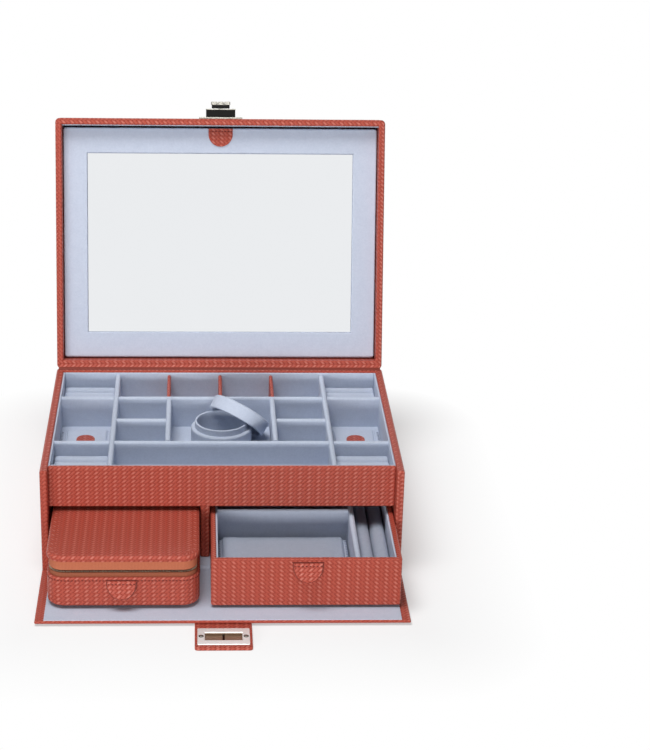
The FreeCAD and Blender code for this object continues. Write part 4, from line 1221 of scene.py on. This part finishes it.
def rowTree():
    wire, sockets, given = startTree(
        "beadRow", {"Path": "Geometry", "Pitch": "Float", "Size": "Vector", "Finish": "Material"}, "Row")
    curve = wire.node("GeometryNodeMeshToCurve", {}, {"Mesh": given["Path"]})
    points = wire.node("GeometryNodeCurveToPoints", {"mode": "LENGTH"}, {"Curve": curve, "Length": given["Pitch"]})
    tangent = Wire(wire.tree, points.socket.node.outputs["Tangent"])
    turn = wire.node("FunctionNodeAlignRotationToVector", {"axis": "X"}, {"Vector": tangent})
    bead = wire.node("GeometryNodeMeshCube", {}, {"Size": given["Size"]})
    soft = wire.node("GeometryNodeSubdivisionSurface", {}, {"Mesh": bead, "Level": 1})
    placed = wire.node("GeometryNodeInstanceOnPoints", {}, {"Points": points, "Instance": soft, "Rotation": turn})
    real = wire.node("GeometryNodeRealizeInstances", {}, {"Geometry": placed})
    dressed = wire.node("GeometryNodeSetMaterial", {}, {"Geometry": real, "Material": given["Finish"]})
    endTree(wire, dressed, "Row")
    return wire.tree, sockets


beadRow, beadSockets = rowTree()


def follow(name, runs, pitch, size, finish, body, lay=None):
    corners, edges = [], []
    for run, closed in runs:
        start = len(corners)
        corners.extend(Vector(p) * mm for p in run)
        edges.extend((start + k, start + k + 1) for k in range(len(run) - 1))
        if closed:
            edges.append((start + len(run) - 1, start))
    mesh = bpy.data.meshes.new(name)
    mesh.from_pydata(corners, edges, [])
    if lay is not None:
        mesh.transform(lay)
    made = grown(name, mesh, beadRow, beadSockets,
                 {"Pitch": pitch * mm, "Size": [s * mm for s in size], "Finish": finish})
    made.data.polygons.foreach_set("use_smooth", [True] * len(made.data.polygons))
    return carry(made, body)


stitch = {"pitch": 2.7, "size": (2.2, 1.0, 1.0)}
seam = {"pitch": 1.8, "size": (1.2, 0.35, 0.3), "trayZ": 62.75, "drawerZ": 22.25}
tooth = {"pitch": 1.15, "size": (0.8, 1.3, 2.2), "inset": 0.35}


def stitches():
    pitch, size = stitch["pitch"], stitch["size"]
    follow("mirrorTabStitches", [([(-9.6, -102.6, 102.6), (9.6, -102.6, 102.6)], False)],
           pitch, size, redThread, "mirror_door", lidLay)
    follow("drawerTabStitches", [([(55.4, -172.9, 42.5), (75.6, -172.9, 42.5)], False)],
           pitch, size, redThread, "drawer")
    body = [(p[0], p[1], 29.6) for p, way, inset in travelPath(-0.1)]
    follow("travelStitches", [(body, True), ([(-88.4, -173.95, 27.6), (-68.6, -173.95, 27.6)], False)],
           pitch, size, redThread, "travel_case")
    pitch, size = seam["pitch"], seam["size"]
    runs = [([(sign * x, y, seam["trayZ"]) for y in (-28.5, 34.5)], False)
            for sign in (-1, 1) for x in (97.0, 133.0)]
    follow("pouchSeams", runs, pitch, size, blueThread, "carcass")
    runs = [([(x, y, seam["drawerZ"]) for y in (-160.5, -90.5)], False) for x in (-0.1, 98.3)]
    follow("drawerPouchSeams", runs, pitch, size, blueThread, "drawer")
    inset = tooth["inset"]
    teeth = [(p[0] + way[0] * inset, p[1] + way[1] * inset, travel["teeth"])
             for p, way, _ in travelPath(travel["tapeInset"])]
    follow("zipTeeth", [(teeth, True)], tooth["pitch"], tooth["size"], zipMetal, "travel_case")


stitches()


def screwTree():
    wire, sockets, given = startTree("screwHeads", {
        "Places": "Geometry", "Radius": "Float", "Height": "Float",
        "Finish": "Material", "Slot Finish": "Material",
    }, "Screws")
    radius, height = given["Radius"], given["Height"]
    head = wire.node("GeometryNodeMeshCone", {}, {
        "Vertices": 24, "Radius Top": radius * 0.72, "Radius Bottom": radius, "Depth": height}, "Mesh")
    # the seat is a dark ring round the head: painted shade round the screw
    seat = wire.node("GeometryNodeMeshCylinder", {}, {
        "Vertices": 24, "Radius": radius * 1.28, "Depth": height * 0.5}, "Mesh")
    size = wire.node("ShaderNodeCombineXYZ", {}, {"X": radius * 1.3, "Y": radius * 0.24, "Z": height * 0.3})
    nick = wire.node("GeometryNodeMeshCube", {}, {"Size": size})
    lift = wire.node("ShaderNodeCombineXYZ", {}, {"Z": height * 0.9})
    nick = wire.node("GeometryNodeTransform", {}, {"Geometry": nick, "Translation": lift})
    join = wire.tree.nodes.new("GeometryNodeJoinGeometry")
    for part, finish in ((head, "Finish"), (nick, "Slot Finish"), (seat, "Slot Finish")):
        dressed = wire.node("GeometryNodeSetMaterial", {}, {"Geometry": part, "Material": given[finish]})
        wire.tree.links.new(dressed.socket, join.inputs[0])
    placed = wire.node("GeometryNodeInstanceOnPoints", {}, {
        "Points": given["Places"], "Instance": Wire(wire.tree, join.outputs[0])})
    endTree(wire, wire.node("GeometryNodeRealizeInstances", {}, {"Geometry": placed}), "Screws")
    return wire.tree, sockets


screw = {"x": 17.1, "y": -210.5, "z": 3.2, "radius": 1.5, "height": 0.6}


def screwHeads():
    tree, sockets = screwTree()
    mesh = bpy.data.meshes.new("escutcheonScrews")
    mesh.from_pydata([Vector((x, screw["y"], screw["z"])) * mm for x in (-screw["x"], screw["x"])], [], [])
    made = grown("escutcheonScrews", mesh, tree, sockets, {
        "Radius": screw["radius"] * mm, "Height": screw["height"] * mm,
        "Finish": nickel, "Slot Finish": blackNickel})
    carry(made, "strap_end", ("escutcheon_screws",))


screwHeads()
print("stitches, teeth and screws done")


# strips along the hinges: suede over the front crease, leather in the lid's corner

def bendingStrip(name, half, rows, under, finish, bodies, start, end, slot):
    made = Stock()
    loop = rows + [(y + under[0], z + under[1]) for y, z in reversed(rows)]
    made.prism(loop, (-half, half), lambda x, y, z: (x, y, z))
    strip = made.mesh(name, finish, None, 50.0)
    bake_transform(strip)


lidBend = (0, 0.1045, 0.0912), (0, 0.108, 0.0945)
flapBend = (0, -0.1035, 0.006), (0, -0.1075, 0.005)
lidStrip = 143.4
bendingStrip("creaseCloth", 137.9,
             [(-99.0, 6.74), (-103.0, 6.74), (-104.6, 6.6), (-105.6, 6.0), (-106.6, 5.2), (-108.0, 4.82),
              (-112.0, 4.76)],
             (0.0, -0.25), suedeCloth, ("carcass", "flap"), *flapBend, "suede")
# the lower strip is the half-tone leather: painted shade in the crease
bendingStrip("lidCrease", lidStrip,
             [(103.9, 91.12), (104.7, 91.25), (105.2, 91.8), (105.5, 92.4), (105.9, 93.0)],
             (0.3, -0.2), creaseLeather, ("carcass", "lid"), *lidBend, "leather")
bendingStrip("lidCreaseBand", lidStrip,
             [(105.88, 92.98), (106.3, 93.4), (106.9, 93.8), (107.6, 94.3), (108.3, 95.2)],
             (0.3, -0.2), pressedLeather, ("carcass", "lid"), *lidBend, "leather")


# the other nodes keep their shape and get a finish

plainNodes = {
    "hinge_leaves_carcass": brass, "hinge_leaves_lid": brass, "hinge_pins": brass, "mirror_pins": blackNickel,
    "lock_spindle": nickel, "trim_bar": nickel, "tray_floor": plainLeather, "base_board": plainLeather,
    "drawer_floor": plainLeather, "lid_lining": suedeCloth, "mirror_back": suedeCloth,
}
for name, finish in plainNodes.items():
    node = frame["nodes"][name]
    node.data.materials.clear()
    node.data.materials.append(finish)
print("finishes set on the frame's own nodes")


# floor, lights and camera

studio = {
    "floorColour": (0.93, 0.93, 0.935, 1.0), "floorGlow": 0.4, "world": 0.10, "aim": (0, -0.03, 0.1),
    "shadeHalf": (0.15, 0.19), "shadeY": -0.01, "shadeFade": 0.10,  # the floor's shaded part round the case
    "key": ((-0.28, -0.40, 1.55), 17.5, (0.8, 0.8)),
    "front": ((-0.30, -1.75, 0.20), 18.5, (1.5, 0.24)),
}


def seenStraight(wire):
    # 1 for what the camera sees, also in mirrors and through glass
    path = wire.tree.nodes.new("ShaderNodeLightPath")
    camera, glossy, through = (Wire(wire.tree, path.outputs[name]) for name in (
        "Is Camera Ray", "Is Glossy Ray", "Is Transmission Ray"))
    return (camera + glossy + through).clipped()


def floorPlane():
    finish, wire = startFinish("paleFloor")
    coords = wire.node("ShaderNodeTexCoord", {}, {}, "Object")
    x = wire.calc("MAXIMUM", abs(coords.part(0)) - studio["shadeHalf"][0], 0.0)
    y = wire.calc("MAXIMUM", abs(coords.part(1) - studio["shadeY"]) - studio["shadeHalf"][1], 0.0)
    away = (x * x + y * y) ** 0.5 / studio["shadeFade"]
    grain = speckle(wire, 3.0)
    matt = wire.node("ShaderNodeBsdfDiffuse", {}, {
        "Color": grain.mixed(studio["floorColour"], (0.95, 0.95, 0.95, 1.0)), "Roughness": 1.0})
    light = wire.node("ShaderNodeEmission", {}, {"Color": (1.0, 1.0, 1.0, 1.0), "Strength": 1.0})
    glow = away.clipped() * (1.0 - studio["floorGlow"]) + studio["floorGlow"]
    endFinish(wire, wire.node("ShaderNodeMixShader", {}, {0: glow * seenStraight(wire), 1: matt, 2: light}))
    mesh = bpy.data.meshes.new("floor")
    mesh.from_pydata([(-6, -6, 0), (6, -6, 0), (6, 6, 0), (-6, 6, 0)], [], [(0, 1, 2, 3)])
    mesh.materials.append(finish)
    plane = bpy.data.objects.new("floor", mesh)
    shown.link(plane)


def studioLight():
    world = bpy.data.worlds.new("studio")
    bpy.context.scene.world = world
    world.use_nodes = True
    world.node_tree.nodes.clear()
    wire = Wire(world.node_tree)
    strength = seenStraight(wire) * (1.0 - studio["world"]) + studio["world"]
    back = wire.node("ShaderNodeBackground", {}, {"Color": (1.0, 1.0, 1.0, 1.0), "Strength": strength})
    output = world.node_tree.nodes.new("ShaderNodeOutputWorld")
    world.node_tree.links.new(back.socket, output.inputs["Surface"])
    for name in ("key", "front"):
        place, power, size = studio[name]
        lamp = bpy.data.lights.new(name, "AREA")
        lamp.shape = "RECTANGLE"
        lamp.energy = power
        lamp.size, lamp.size_y = size
        made = bpy.data.objects.new(name, lamp)
        made.location = place
        made.rotation_mode = "QUATERNION"
        made.rotation_quaternion = (Vector(studio["aim"]) - Vector(place)).to_track_quat("-Z", "Y")
        shown.link(made)


floorPlane()
studioLight()

view = {
    "place": (-0.02125, -1.48024, 0.75001), "pitch": 22.71, "yaw": 2.45, "roll": 1.05,
    "focus": 1922.58, "centreX": 272.0, "width": 650.0, "height": 750.0, "sensor": 36.0,
}


def camera():
    lens = bpy.data.cameras.new("camera")
    lens.sensor_width = view["sensor"]
    lens.lens = view["focus"] / view["height"] * view["sensor"]
    lens.shift_x = (view["width"] / 2 - view["centreX"]) / view["height"]
    lens.clip_start = 0.05
    lens.clip_end = 50.0
    pitch, yaw, roll = (math.radians(view[k]) for k in ("pitch", "yaw", "roll"))
    ahead = Vector((math.sin(yaw) * math.cos(pitch), math.cos(yaw) * math.cos(pitch), -math.sin(pitch)))
    right = Vector((math.cos(yaw), -math.sin(yaw), 0.0))
    up = right.cross(ahead)
    side = math.cos(roll) * right + math.sin(roll) * up
    top = -math.sin(roll) * right + math.cos(roll) * up
    turn = Matrix((side, top, -ahead)).transposed()
    made = bpy.data.objects.new("camera", lens)
    made.matrix_world = Matrix.Translation(view["place"]) @ turn.to_4x4()
    shown.link(made)
    bpy.context.scene.camera = made


camera()
bpy.context.scene.view_settings.view_transform = "Standard"
print("studio done")
